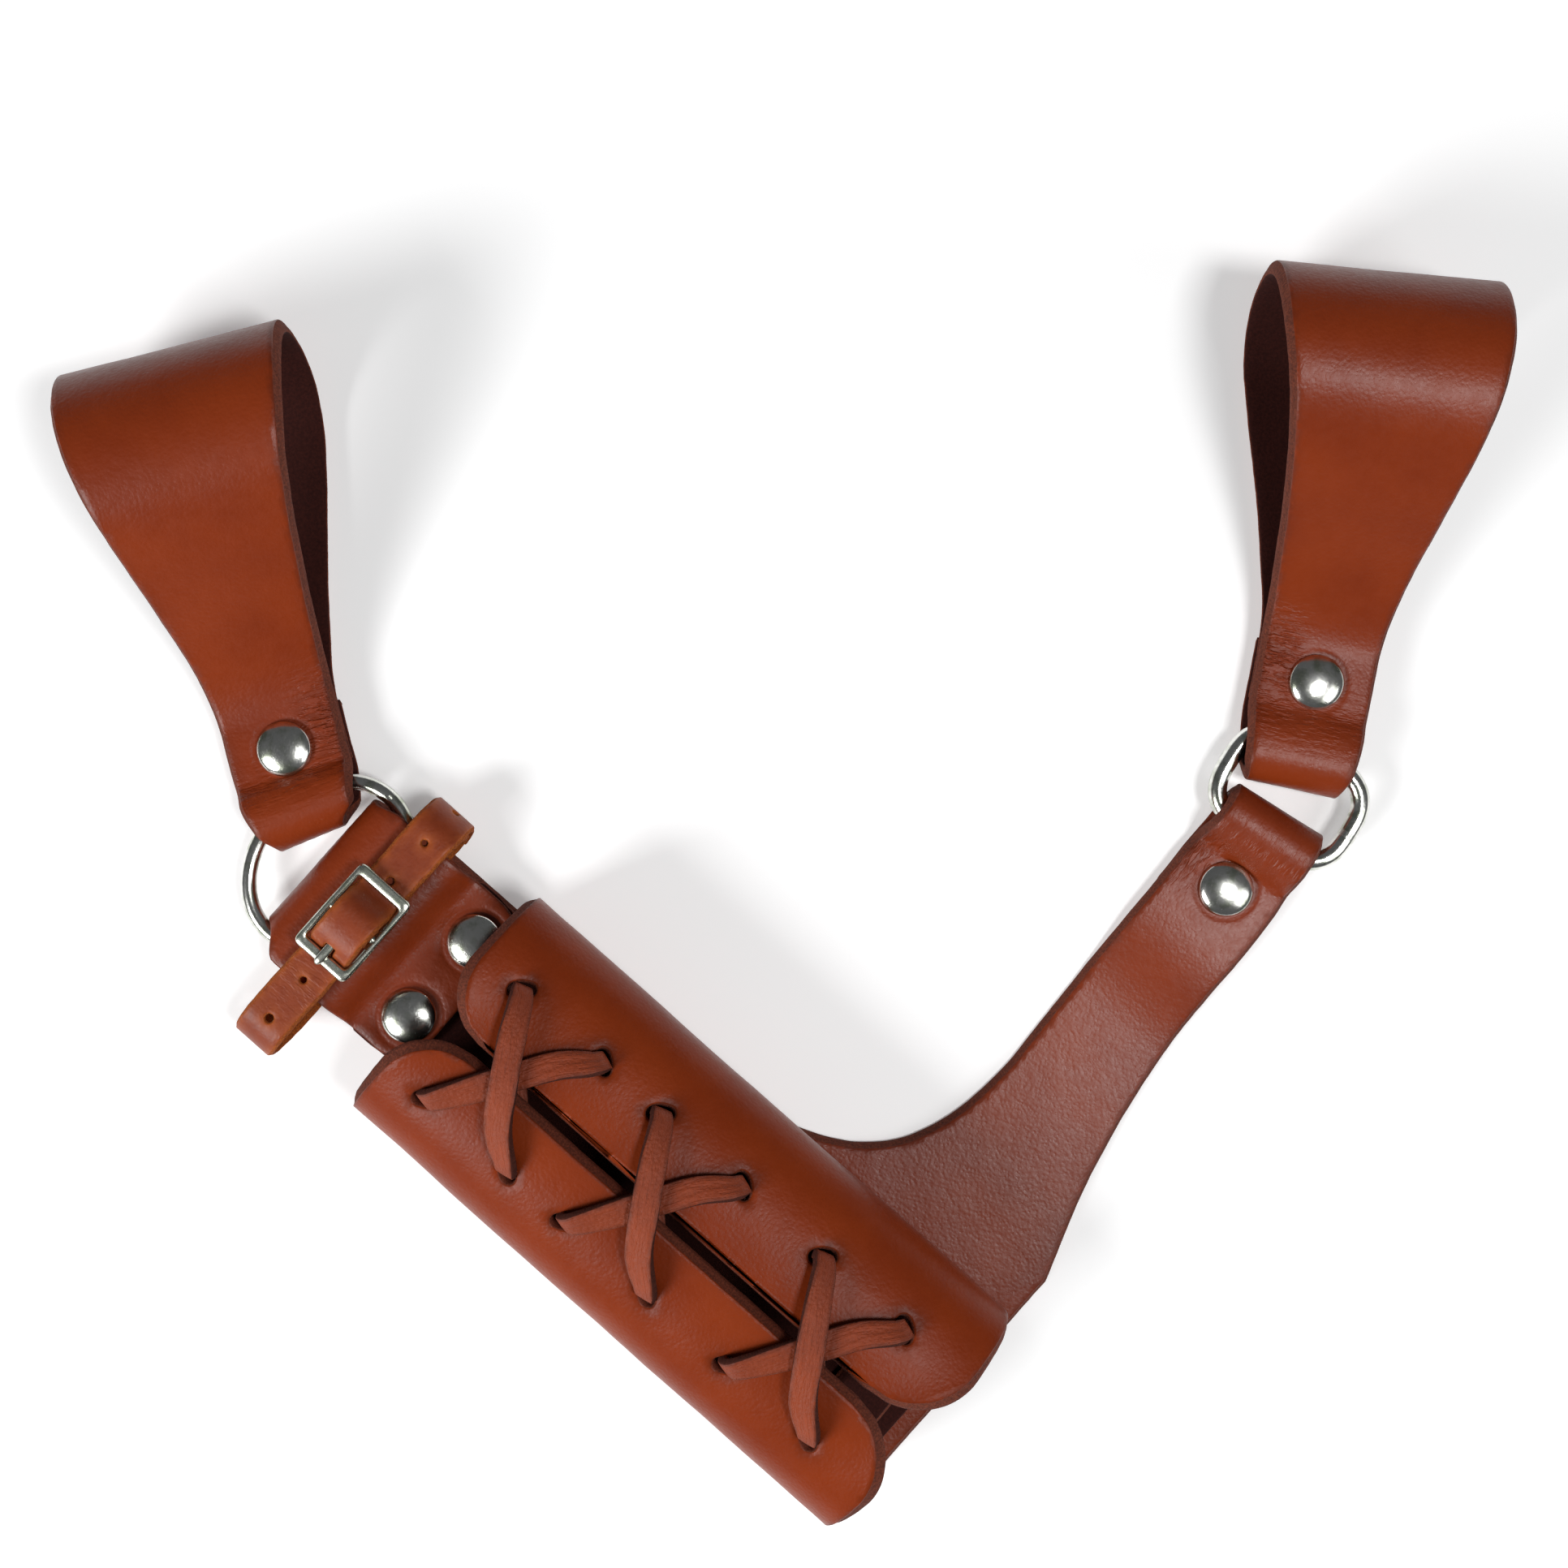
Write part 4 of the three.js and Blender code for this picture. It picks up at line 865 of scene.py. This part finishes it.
# Rivets
def dome(top):
    """A cap's profile, pressed a little into a face at the given height."""
    seat = top - CAP_SINK
    points = [(0.0, seat + CAP_RISE + CAP_LIP)]
    for i in range(1, CAP_STEPS + 1):
        turn = pi / 2 * (1 - i / CAP_STEPS)
        rise = CAP_LIP + CAP_ROLL + (CAP_RISE - CAP_ROLL) * sin(turn)
        points.append((CAP_RADIUS * cos(turn), seat + rise))
    under = [(CAP_RADIUS + 0.05, CAP_LIP), (CAP_RADIUS - 0.1, 0.05), (NECK_RADIUS, 0.0), (0.0, 0.0)]
    return points + [(radius, seat + rise) for radius, rise in under]


BACK_DISC = [
    (0.0, BACK_THICK), (NECK_RADIUS, BACK_THICK), (BACK_RADIUS - 0.1, BACK_THICK - 0.05),
    (BACK_RADIUS, BACK_THICK - 0.25), (BACK_RADIUS - 0.15, 0.25), (BACK_RADIUS - 0.5, 0.05),
    (NECK_RADIUS, 0.0), (0.0, 0.0)]


def rivet(name, body, matrix, x, y, top):
    """A cap and a back, turned about their axis by an amount set by their x, so that rivets at different x
    show different scratches.
    """
    place = placed(matrix, x, y, 0, CAP_TURN * x)
    piece(lathe(f"{name}_dome", dome(top), STEEL, place), body, f"{name}_cap")
    piece(lathe(f"{name}_disc", BACK_DISC, STEEL, place), body, f"{name}_back")


second_top, front_top = [LAYER[i] + LEATHER / 2 for i in (1, 2)]
for number, side in ((1, -1), (2, 1)):
    for spot, (x, y), top in (("stem", STEM_RIVET, front_top), ("foot", FOOT_RIVET, second_top)):
        rivet(f"{spot}_rivet_{number}", "hanger", hanger, x, PANEL_MID + side * y, top)
rivet("arm_rivet", "hanger", hanger, *arm_carrier(arm_rivet_run)[0], second_top)


# Rings
RING_STEP = 0.7
WIRE_UNEVEN = 0.02


def rounded(count, power):
    """Points round a squared circle of half size 1."""
    bend = lambda v: copysign(abs(v) ** (2 / power), v)
    return [Vector((bend(cos(t)), bend(sin(t)))) for t in round_turns(count)]


def ring(name, body, node, matrix, length, width, square, wire):
    line = [Vector((p.x * (length - wire) / 2, p.y * (width - wire) / 2, 0)) for p in rounded(400, square)]
    flat = resample([p.to_2d() for p in line], RING_STEP)
    stations = []
    for point, out in zip(flat, outward(flat)):
        size = wire / 2 * (1 + WIRE_UNEVEN * wobble(point.x, point.y, 0, 9.0))
        stations.append((point.to_3d(), out.to_3d(), UP, (size, size)))
    piece(sweep(name, stations, rounded(20, 2), [STEEL], matrix, closed=True), body, node)


left_ring = placed(hanger, *ring_place.xy, ring_height(STEM_SPACE), pi / 2)
right_place, _ = arm_carrier(ARM_BEND_LENGTH + ARM_FOLD_SHORT)
right_ring = placed(hanger, *right_place, ring_height(ARM_SPACE), ARM_LEAN)
ring("left_ring_wire", "hanger", "left_ring", left_ring, **LEFT_RING)
ring("right_ring_wire", "right_ring", "right_ring", right_ring, **RIGHT_RING)


# Belt loops. Runs count from the rivet, up the loop.
def loop_path(rivet_run, space):
    radius, height = fold_radius(space), ring_height(space)
    centre = LAYER[0] + radius - rivet_run
    top_radius = (LOOP_DEPTH - LEATHER) / 2
    top_z = LAYER[0] + top_radius
    x = LOOP_TOP + top_radius * cos(LOOP_MEET)
    y = top_z + top_radius * sin(LOOP_MEET)
    drop = -LOOP_PRESS - centre
    path = Path(LOOP_RETURN_END, LAYER[0]).line(centre, LAYER[0])
    path.arc(centre, height, radius, -pi / 2, -1.5 * pi)
    path.curve(
        centre + drop * FOLD_HOLD, 2 * height - LAYER[0],
        -LOOP_PRESS - drop * FOLD_LAND, LAYER[2], -LOOP_PRESS, LAYER[2])
    path.line(LOOP_PRESS, LAYER[2])
    path.curve(
        LOOP_PRESS + LOOP_EASE[0], LAYER[2],
        x - LOOP_EASE[1] * sin(LOOP_MEET), y + LOOP_EASE[1] * cos(LOOP_MEET), x, y)
    path.arc(LOOP_TOP, top_z, top_radius, LOOP_MEET, -pi / 2)
    path.line(LOOP_RETURN_END + LOOP_STEP, LAYER[0])
    step = LOOP_RETURN_END + LOOP_STEP / 2
    path.curve(step, LAYER[0], step, LAYER[1], LOOP_RETURN_END, LAYER[1])
    return path.line(-LOOP_BACK_END, LAYER[1]).measure()


def belt_loop(hand, ring_matrix, space, crease_side, lean, sweep, bend, fold, rivet_run, half, corners, wide):
    matrix = ring_matrix @ Matrix.Rotation(radians(lean), 4, "Z")
    matrix = matrix @ Matrix.Translation((0, 0, -ring_height(space)))
    base = arc_carrier(Vector((0, fold)), pi / 2, radians(sweep), bend)
    carrier = lambda run: base(run + rivet_run)
    path = loop_path(rivet_run, space)

    def reach(run, _):
        narrow = lerp(half, LOOP_NARROW, smooth(run, LAYER[0] - rivet_run, -LOOP_BACK_END))
        corner = 1 - smooth(run + rivet_run, LAYER[0], LOOP_CORNER)
        flare = smooth(run, *LOOP_FLARE)
        return [lerp(narrow, side, flare) - cut * corner for side, cut in zip(wide, corners)]

    front = path.length_where(lambda p: p.x >= 0 and p.y > LAYER[1] + 1)

    # Wrinkles beside the rivet, where the grain also paints shading between the ridges
    def crease(s, t):
        up = s - front
        return bell(up - 5, 9) * smooth(t * crease_side, 1, 9) + 0.3 * bell(up + 9, 6)

    sheet = cut_sheet(
        f"{hand}_loop_leather", strip_outline(path, reach), carried(path, carrier),
        [LOOP_GRAIN, FLESH, CUT], matrix, marks=[(front, 0.0, CAP_RADIUS, PRESSED, 1)], crease=crease)
    piece(sheet, f"{hand}_loop", f"{hand}_belt_loop")
    rivet(f"{hand}_loop_rivet", f"{hand}_loop", matrix, *carrier(0)[0], front_top)


for hand, matrix, space, side, spec in (
        ("left", left_ring, STEM_SPACE, 1, LEFT_LOOP), ("right", right_ring, ARM_SPACE, -1, RIGHT_LOOP)):
    belt_loop(hand, matrix, space, side, **spec)


# Sleeve: its middle line in (y, z), from one flap's edge round the back to the other
sleeve_end = SLEEVE_LENGTH / 2
sleeve_half = (SLEEVE_WIDTH - LEATHER) / 2
sleeve_rise = (SLEEVE_HEIGHT - LEATHER) / 2
sleeve_mid = LAYER[1] + sleeve_rise


def crown_point(y, offset=0.0):
    share = min(abs(y) / sleeve_half, 1.0)
    z = sleeve_rise * (1 - share**SLEEVE_SQUARE) ** (1 / SLEEVE_SQUARE)
    normal = Vector((
        copysign(share ** (SLEEVE_SQUARE - 1) / sleeve_half, y),
        (z / sleeve_rise) ** (SLEEVE_SQUARE - 1) / sleeve_rise)).normalized()
    return Vector((y, sleeve_mid + z)) + normal * offset


def sleeve_girth():
    sides = []
    for sign in (1, -1):
        limit = acos((abs(SEAM_Y + sign * SEAM_GAP / 2) / sleeve_half) ** (SLEEVE_SQUARE / 2))
        turns = [limit * (1 - i / 80) for i in range(81)]
        side = [crown_point(sign * sleeve_half * cos(t) ** (2 / SLEEVE_SQUARE)) for t in turns]
        for i in range(1, 41):
            turn = i / 40 * pi / 2
            y = SLEEVE_FLAT + (sleeve_half - SLEEVE_FLAT) * cos(turn)
            side.append(Vector((sign * y, sleeve_mid - sleeve_rise * sin(turn))))
        sides.append(side)
    path = Path(*sides[0][0], sides[0])
    return path.line(*sides[1][-1]).through(sides[1][::-1]).measure()


girth = sleeve_girth()
girth_middle = girth.length_where(lambda p: p.x <= PANEL_MID and p.y < sleeve_mid)


def sleeve_outline():
    def end(radius, sign):
        reaches = [(sleeve_end - round_in(min(s, girth.total - s), radius), s) for s in girth.runs(170)]
        return [Vector((sign * x, s)) for x, s in reaches]

    low, high = girth_middle - TAB_HALF, girth_middle + TAB_HALF
    mouth = end(MOUTH_RADIUS, -1)[::-1]
    tab = vectors((-sleeve_end, high), (TAB_END, high), (TAB_END, low), (-sleeve_end, low))
    above, below = [p for p in mouth if p.y > high], [p for p in mouth if p.y < low]
    return end(FOOT_RADIUS, 1) + above + tab + below


def sleeve_bend(x, s):
    spot, tangent = girth.at(s)
    flat = smooth(-x, sleeve_end, sleeve_end + TAB_FLATTEN)
    sag = SLEEVE_SAG * wobble(x, s, 0, 34.0, 0.6) * (1 - flat)
    normal = Vector((0, -tangent.y, tangent.x)).lerp(Vector((0, 0, -1)), flat).normalized()
    near = 1 - smooth(min(s, girth.total - s), 0, CURL_SIDE)
    past = clamp((abs(x) - sleeve_end + CURL_REACH) / CURL_REACH, 0, 1) * near
    point = Vector((x, spot.x, lerp(spot.y, LAYER[1], flat))) + normal * (sag + FLAP_CURL * past**2)
    lean = Vector((copysign(2 * FLAP_CURL / CURL_REACH * past, x), 0, 0))
    return point, (normal - lean).normalized()


def on_girth(y):
    """The cut length at which the crown passes y."""
    if y > SEAM_Y:
        return girth.length_where(lambda p: p.x >= y)
    back = Path(*girth.points[-1], girth.points[::-1]).measure()
    return girth.total - back.length_where(lambda p: p.x <= y)


def lace_slots():
    slots = []
    for middle in LACE_CROSSES.values():
        for along in (-1, 1):
            for side in (-1, 1):
                turn = atan2(side * LACE_HOLE_Y, along * LACE_HALF_STEP)
                centre = Vector((middle + along * LACE_HALF_STEP, on_girth(side * LACE_HOLE_Y)))
                turn = turn if side > 0 else -turn
                way = Vector((cos(turn), sin(turn)))
                across = Vector((-way.y, way.x))
                slots.append([
                    centre + way * p.x * LACE_SLOT[0] + across * p.y * LACE_SLOT[1]
                    for p in rounded(24, LACE_SLOT_POWER)])
    return slots


sleeve = cut_sheet(
    "sleeve_leather", sleeve_outline(), sleeve_bend, [SLEEVE_GRAIN, FLESH, CUT], hanger,
    holes=lace_slots(), pitch=1.8, wave=0.15, slant=FLAP_SLANT)
piece(sleeve, "hanger", "sleeve")


# A strip laid inside the foot, over the rivets
foot_top = LAYER[1] + LEATHER / 2 + CAP_RISE + FOOT_STRIP_CLEAR


def foot_bend(x, y):
    rise = max(bell(y - PANEL_MID - side * FOOT_RIVET[1], FOOT_STRIP_HUMP) for side in (-1, 1))
    height = lerp(foot_top - FOOT_STRIP_DIP, foot_top + FOOT_STRIP_THICK / 2, rise)
    return Vector((FOOT_RIVET[0] + x, y, height)), UP


foot_strip = cut_sheet(
    "foot_strip_leather", rectangle(*FOOT_STRIP_BOX), foot_bend, [FLESH, FLESH, CUT], hanger,
    thickness=FOOT_STRIP_THICK, slant=0.5)
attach(foot_strip, "hanger")


# Laces: each goes out at one hole, over to the opposite one, across inside, and back over the same way
def lace_route(middle):
    """Points of (x, y, height over the wall's middle, width direction, width share, roll)."""
    stops = []
    wall = LEATHER / 2
    inner = wall + LACE_BEND
    lift = LACE_THICK + 2 * FIT
    turn = sqrt(0.5)
    flat = Vector((1, 0))

    def stop(x, y, offset, width, wide=1.0, roll=0.0):
        stops.append((middle + x, y, offset, width, wide, roll * LACE_ROLL))

    def hole(x, y, way, width, order, roll):
        inward = copysign(1, -y)
        start = LACE_BEND * (1 - turn)
        listed = [
            (x, y + inward * LACE_BEND, -inner, flat, 0.95),
            (x, y + inward * start, -wall - LACE_BEND * turn, flat, 0.85),
            (x, y, -wall, width, 0.78, 0.3 * roll),
            (x, y, wall, width, 0.76, 0.6 * roll),
            (x + way.x * start, y + way.y * start, wall + LACE_BEND * turn, width, 0.8, 0.9 * roll),
            (x + way.x * LACE_BEND, y + way.y * LACE_BEND, inner + LACE_ARCH / 2, width, 0.9, roll)]
        for item in listed[::order]:
            stop(*item)

    def cross(x, y, width, height, roll, bow):
        way = Vector((-x, -y)).normalized()
        hole(x, y, way, width, 1, roll)
        for share, rise, push in zip((0.5, 0, -0.5), (0.7, 1, 0.7), bow[2]):
            stop(
                x * share + bow[0] * push, y * share + bow[1] * push,
                inner - 0.5 + LACE_ARCH + height * rise, width, 1.04, roll * share)
        hole(-x, -y, -way, width, -1, -roll)

    h, v = LACE_HALF_STEP, LACE_HOLE_Y
    a, b = Vector((h, -v)).normalized(), Vector((h, v)).normalized()
    stop(-h, LACE_TAIL_GAP / 2, -inner - LACE_BEND, flat)
    cross(-h, v, Vector((-a.y, a.x)), lift, -1, LACE_BOWS[0])
    stop(0, 0, -inner - LACE_SLACK, flat)
    cross(h, v, Vector((b.y, -b.x)), 0, 1, LACE_BOWS[1])
    stop(-h, -LACE_TAIL_GAP / 2, -inner - LACE_BEND, flat)
    return stops


def centripetal(points, steps):
    """Points on a centripetal Catmull-Rom curve, some steps from each point to the next."""
    padded = [2 * points[0] - points[1], *points, 2 * points[-1] - points[-2]]
    out = []
    for p, q, r, s in zip(padded, padded[1:], padded[2:], padded[3:]):
        a, b, c = (sqrt((y - x).length) for x, y in ((p, q), (q, r), (r, s)))
        start = ((q - p) / a - (r - p) / (a + b) + (r - q) / b) * b
        end = ((r - q) / b - (s - q) / (b + c) + (s - r) / c) * b
        for k in range(steps):
            t = k / steps
            out.append(
                q * (2 * t**3 - 3 * t**2 + 1) + start * (t**3 - 2 * t**2 + t)
                + r * (3 * t**2 - 2 * t**3) + end * (t**3 - t**2))
    return out + [points[-1].copy()]


LACE_STEPS = 8
LACE_SECTION = vectors(
    (1, 0), (1, 0.55), (0.97, 0.84), (0.9, 0.96), (0.65, 1.0), (0.35, 1.03), (0, 1.05), (-0.35, 1.03),
    (-0.65, 1.0), (-0.9, 0.96), (-0.97, 0.84), (-1, 0.55), (-1, 0), (-1, -0.55), (-0.97, -0.84),
    (-0.9, -0.96), (-0.45, -1), (0, -1), (0.45, -1), (0.9, -0.96), (0.97, -0.84), (1, -0.55))
for number, (name, middle) in enumerate(LACE_CROSSES.items()):
    stops = lace_route(middle)
    line = centripetal([Vector((x, *crown_point(y, offset))) for x, y, offset, *_ in stops], LACE_STEPS)
    stations = []
    for i, point in enumerate(line):
        span = min(i // LACE_STEPS, len(stops) - 2)
        share = i / LACE_STEPS - span
        tangent = (line[min(i + 1, len(line) - 1)] - line[max(i - 1, 0)]).normalized()
        across = stops[span][3].lerp(stops[span + 1][3], share).to_3d()
        across = (across - tangent * across.dot(tangent)).normalized()
        across.rotate(Quaternion(tangent, lerp(stops[span][5], stops[span + 1][5], share)))
        wide = lerp(stops[span][4], stops[span + 1][4], share)
        wide *= LACE_WIDTH / 2 * (1 + 0.05 * wobble(i * 0.7, number, 0, 4.0))
        thick = LACE_THICK / 2 * (0.93 + 0.07 * wobble(i * 0.7, number, 5, 5.0))
        stations.append((point, across, tangent.cross(across), (wide, thick)))
    # The laces are creased all along, so their grain paints shading between the wrinkle ridges everywhere
    lace = sweep(f"lace_{name}_leather", stations, LACE_SECTION, [LACE, LACE_CUT], hanger, crease=0.3)
    piece(lace, "hanger", f"lace_{name}")


# Buckled strap: from the end folded round the bar, round the right bend, back between the stem's
# layers, round the left bend, over the bar and again round the right bend
stem_top = 2 * ring_height(STEM_SPACE) - LAYER[0] + LEATHER / 2
strap_rise = STRAP_THICK + FIT
fixed_z = stem_top + BUCKLE_LIFT
free_z = fixed_z + strap_rise
buckle_z = free_z + STRAP_THICK / 2 + FIT + BUCKLE_THICK / 2
wrap_radius = BAR_RADIUS + FIT + STRAP_THICK / 2
over_z = buckle_z + wrap_radius + strap_rise
back_z = LEATHER + FIT + STRAP_THICK / 2
end_bar = (BUCKLE_LENGTH - BUCKLE_END) / 2
rise_y = end_bar - BUCKLE_END / 2 - FIT / 2
eye_radius = BAR_RADIUS + FIT + TONGUE_THICK


def strap_path():
    inner = (fixed_z - back_z) / 2
    left = (free_z - back_z) / 2
    y = BUCKLE_Y
    wrap = [lerp(WRAP_FROM, 1.5 * pi, i / 16) for i in range(17)]
    around = [Vector((y + wrap_radius * cos(t), buckle_z + wrap_radius * sin(t))) for t in wrap]
    path = Path(*around[0], around)
    path.line(y + rise_y, fixed_z).line(STRAP_RIGHT, fixed_z)
    path.arc(STRAP_RIGHT, fixed_z - inner, inner, pi / 2, -pi / 2).line(STRAP_LEFT, back_z)
    path.arc(STRAP_LEFT, back_z + left, left, -pi / 2, -1.5 * pi).line(y - rise_y, free_z)
    path.curve(y - rise_y * STEEP_LOW, free_z, y - rise_y * STEEP_HIGH, over_z, y, over_z)
    path.curve(y + rise_y * RISE_HIGH, over_z, y + rise_y * RISE_LOW, free_z, y + rise_y, free_z)
    path.line(STRAP_RIGHT, free_z)
    end = pi / 2 - STRAP_TAIL_TURN
    return path.arc(STRAP_RIGHT, fixed_z - inner, inner + strap_rise, pi / 2, end).measure()


strap = strap_path()
over = lambda y: strap.length_where(lambda p: p.x >= BUCKLE_Y + y, after=0.6 * strap.total)
slot_half = TONGUE_WIDTH / 2 + FIT
slot_ends = [over(y) for y in TONGUE_HOLE]
hole_run = over(sum(TONGUE_HOLE) / 2)
notch = strap.length_where(lambda p: p.x > BUCKLE_Y and p.y < buckle_z) + eye_radius
half = STRAP_WIDTH / 2
strap_outline = vectors(
    (0, -half), (strap.total, -half), (strap.total + 1.5, 0), (strap.total, half), (0, half),
    (0, slot_half), (notch, slot_half), (notch, -slot_half), (0, -slot_half))
strap_holes = [rectangle(slot_ends[0], -slot_half, slot_ends[1], slot_half)]
for step in STRAP_HOLES:
    centre = Vector((hole_run + step * STRAP_HOLE_PITCH, 0))
    strap_holes.append([centre + p * STRAP_HOLE_RADIUS for p in rounded(16, 2)])
along_y = lambda run: (Vector((STRAP_X, run)), Vector((0, 1)))
# The strap's crease before the tongue slot also tints its grain there as painted shading of the wrinkles
strap_sheet = cut_sheet(
    "keeper_strap_leather", strap_outline, carried(strap, along_y), STRAPS, hanger, thickness=STRAP_THICK,
    slant=0.45, holes=strap_holes, pitch=0.9, corner=0.5, rough=0.22, wave=0.05, step=0.6,
    rings=((0.0, 0.3), (0.15, 0.1), (0.4, 0.0)), crease=lambda s, t: 0.2 * bell(s - slot_ends[0] + 9, 7))
piece(strap_sheet, "hanger", "buckle_strap")


# Buckle and tongue
buckle = hanger @ Matrix.Translation((STRAP_X, BUCKLE_Y, buckle_z))
half_x, half_y = STRAP_WIDTH / 2 + FIT + BUCKLE_SIDE, BUCKLE_LENGTH / 2
hole_x, hole_y = half_x - BUCKLE_SIDE, half_y - BUCKLE_END
plate = cut_sheet(
    "buckle_plate", rectangle(-half_x, -half_y, half_x, half_y),
    lambda x, y: (Vector((x, y, 0)), UP), [FRAME_STEEL] * 3, buckle,
    thickness=BUCKLE_THICK, holes=[soften(rectangle(-hole_x, -hole_y, hole_x, hole_y), 0.8)],
    pitch=0.8, corner=BUCKLE_CORNER, rough=0.0, wave=0.0, slant=0.0, step=0.5,
    rings=((0.0, 0.5), (0.15, 0.2), (0.4, 0.04)))
piece(plate, "hanger", "buckle_frame")
bar_half = half_x - BUCKLE_SIDE / 2
bar_stations = [(
    Vector((lerp(-bar_half, bar_half, i / 12), 0, 0)), Vector((0, 1, 0)), UP,
    (BAR_RADIUS, BAR_RADIUS)) for i in range(13)]
bar = sweep("buckle_bar", bar_stations, rounded(16, 2), [FRAME_STEEL], buckle)
piece(bar, "hanger", "buckle_frame")

seat = BUCKLE_THICK / 2 + FIT + TONGUE_THICK / 2
bent = eye_radius - TONGUE_THICK / 2
tongue_line = [Vector((bent * cos(t), bent * sin(t))) for t in (
    radians(-100 + 190 * i / 10) for i in range(11))]
tongue_line += vectors(
    (-3.0, bent - 0.1), (-6.0, bent), (-end_bar + 1, seat), (-end_bar - 1.6, seat - 0.2))
tongue_path = Path(*tongue_line[0], tongue_line).measure()
tongue_stations = []
for i, run in enumerate(tongue_path.runs(40)):
    spot, tangent = tongue_path.at(run)
    size = sqrt(max(1 - smooth(i, 36, 40.5) ** 2, 0.03))
    tongue_stations.append((
        Vector((0, spot.x, spot.y)), Vector((1, 0, 0)), Vector((0, -tangent.y, tangent.x)),
        (TONGUE_WIDTH / 2 * size, TONGUE_THICK / 2 * size)))
tongue = sweep("tongue_rod", tongue_stations, rounded(16, 2.4), [FRAME_STEEL], buckle)
piece(tongue, "tongue", "buckle_tongue")


# Table, light and camera
TABLE_HALF = 3.0
TABLE_DROP = 0.0003
VIEW_MIDDLE = (21.05, 87.0, 0)
CAMERA_LENS = 50.36
CAMERA_HEIGHT = 0.47

floor = Shader("pale_table", Roughness=0.9)
floor.set("Base Color", (0.93, 0.93, 0.93, 1))
floor.set("Emission Color", (1, 1, 1, 1))
floor.set("Emission Strength", 0.22)
table = bpy.data.meshes.new("table_top")
corners = rectangle(-TABLE_HALF, -TABLE_HALF, TABLE_HALF, TABLE_HALF)
table.from_pydata([p.to_3d() for p in corners], [], [(0, 1, 2, 3)])
table.materials.append(floor.material)
table_top = add_object("table_top", table)
table_top.location.z = -TABLE_DROP

scene = bpy.context.scene
world = bpy.data.worlds.new("room")
world.use_nodes = True
sky = world.node_tree.nodes["Background"].inputs
sky["Color"].default_value = (0.95, 0.97, 1.0, 1)
sky["Strength"].default_value = 0.09
scene.world = world
scene.view_settings.view_transform = "Standard"

middle_x, middle_y, _ = [v * MM for v in hanger.translation + Vector(VIEW_MIDDLE)]


def softbox(name, x, y, z, size, power):
    """A square lamp aimed at the view's middle, from an offset in metres."""
    light = bpy.data.lights.new(name, "AREA")
    light.shape = "SQUARE"
    light.size = size
    light.energy = power
    lamp = add_object(name, light)
    lamp.location = (middle_x + x, middle_y + y, z)
    aim = Vector((middle_x, middle_y, 0)) - lamp.location
    lamp.rotation_euler = aim.to_track_quat("-Z", "Y").to_euler()


softbox("softbox_top", 0.32, -0.12, 0.94, 0.2, 4.4)
softbox("softbox_right", 0.65, -0.3, 0.6, 0.42, 1.7)
softbox("softbox_left", -0.6, -0.4, 0.52, 0.36, 6.6)

camera_data = bpy.data.cameras.new("camera")
camera_data.lens = CAMERA_LENS
camera = add_object("camera", camera_data)
camera.location = (middle_x, middle_y, CAMERA_HEIGHT)
scene.camera = camera
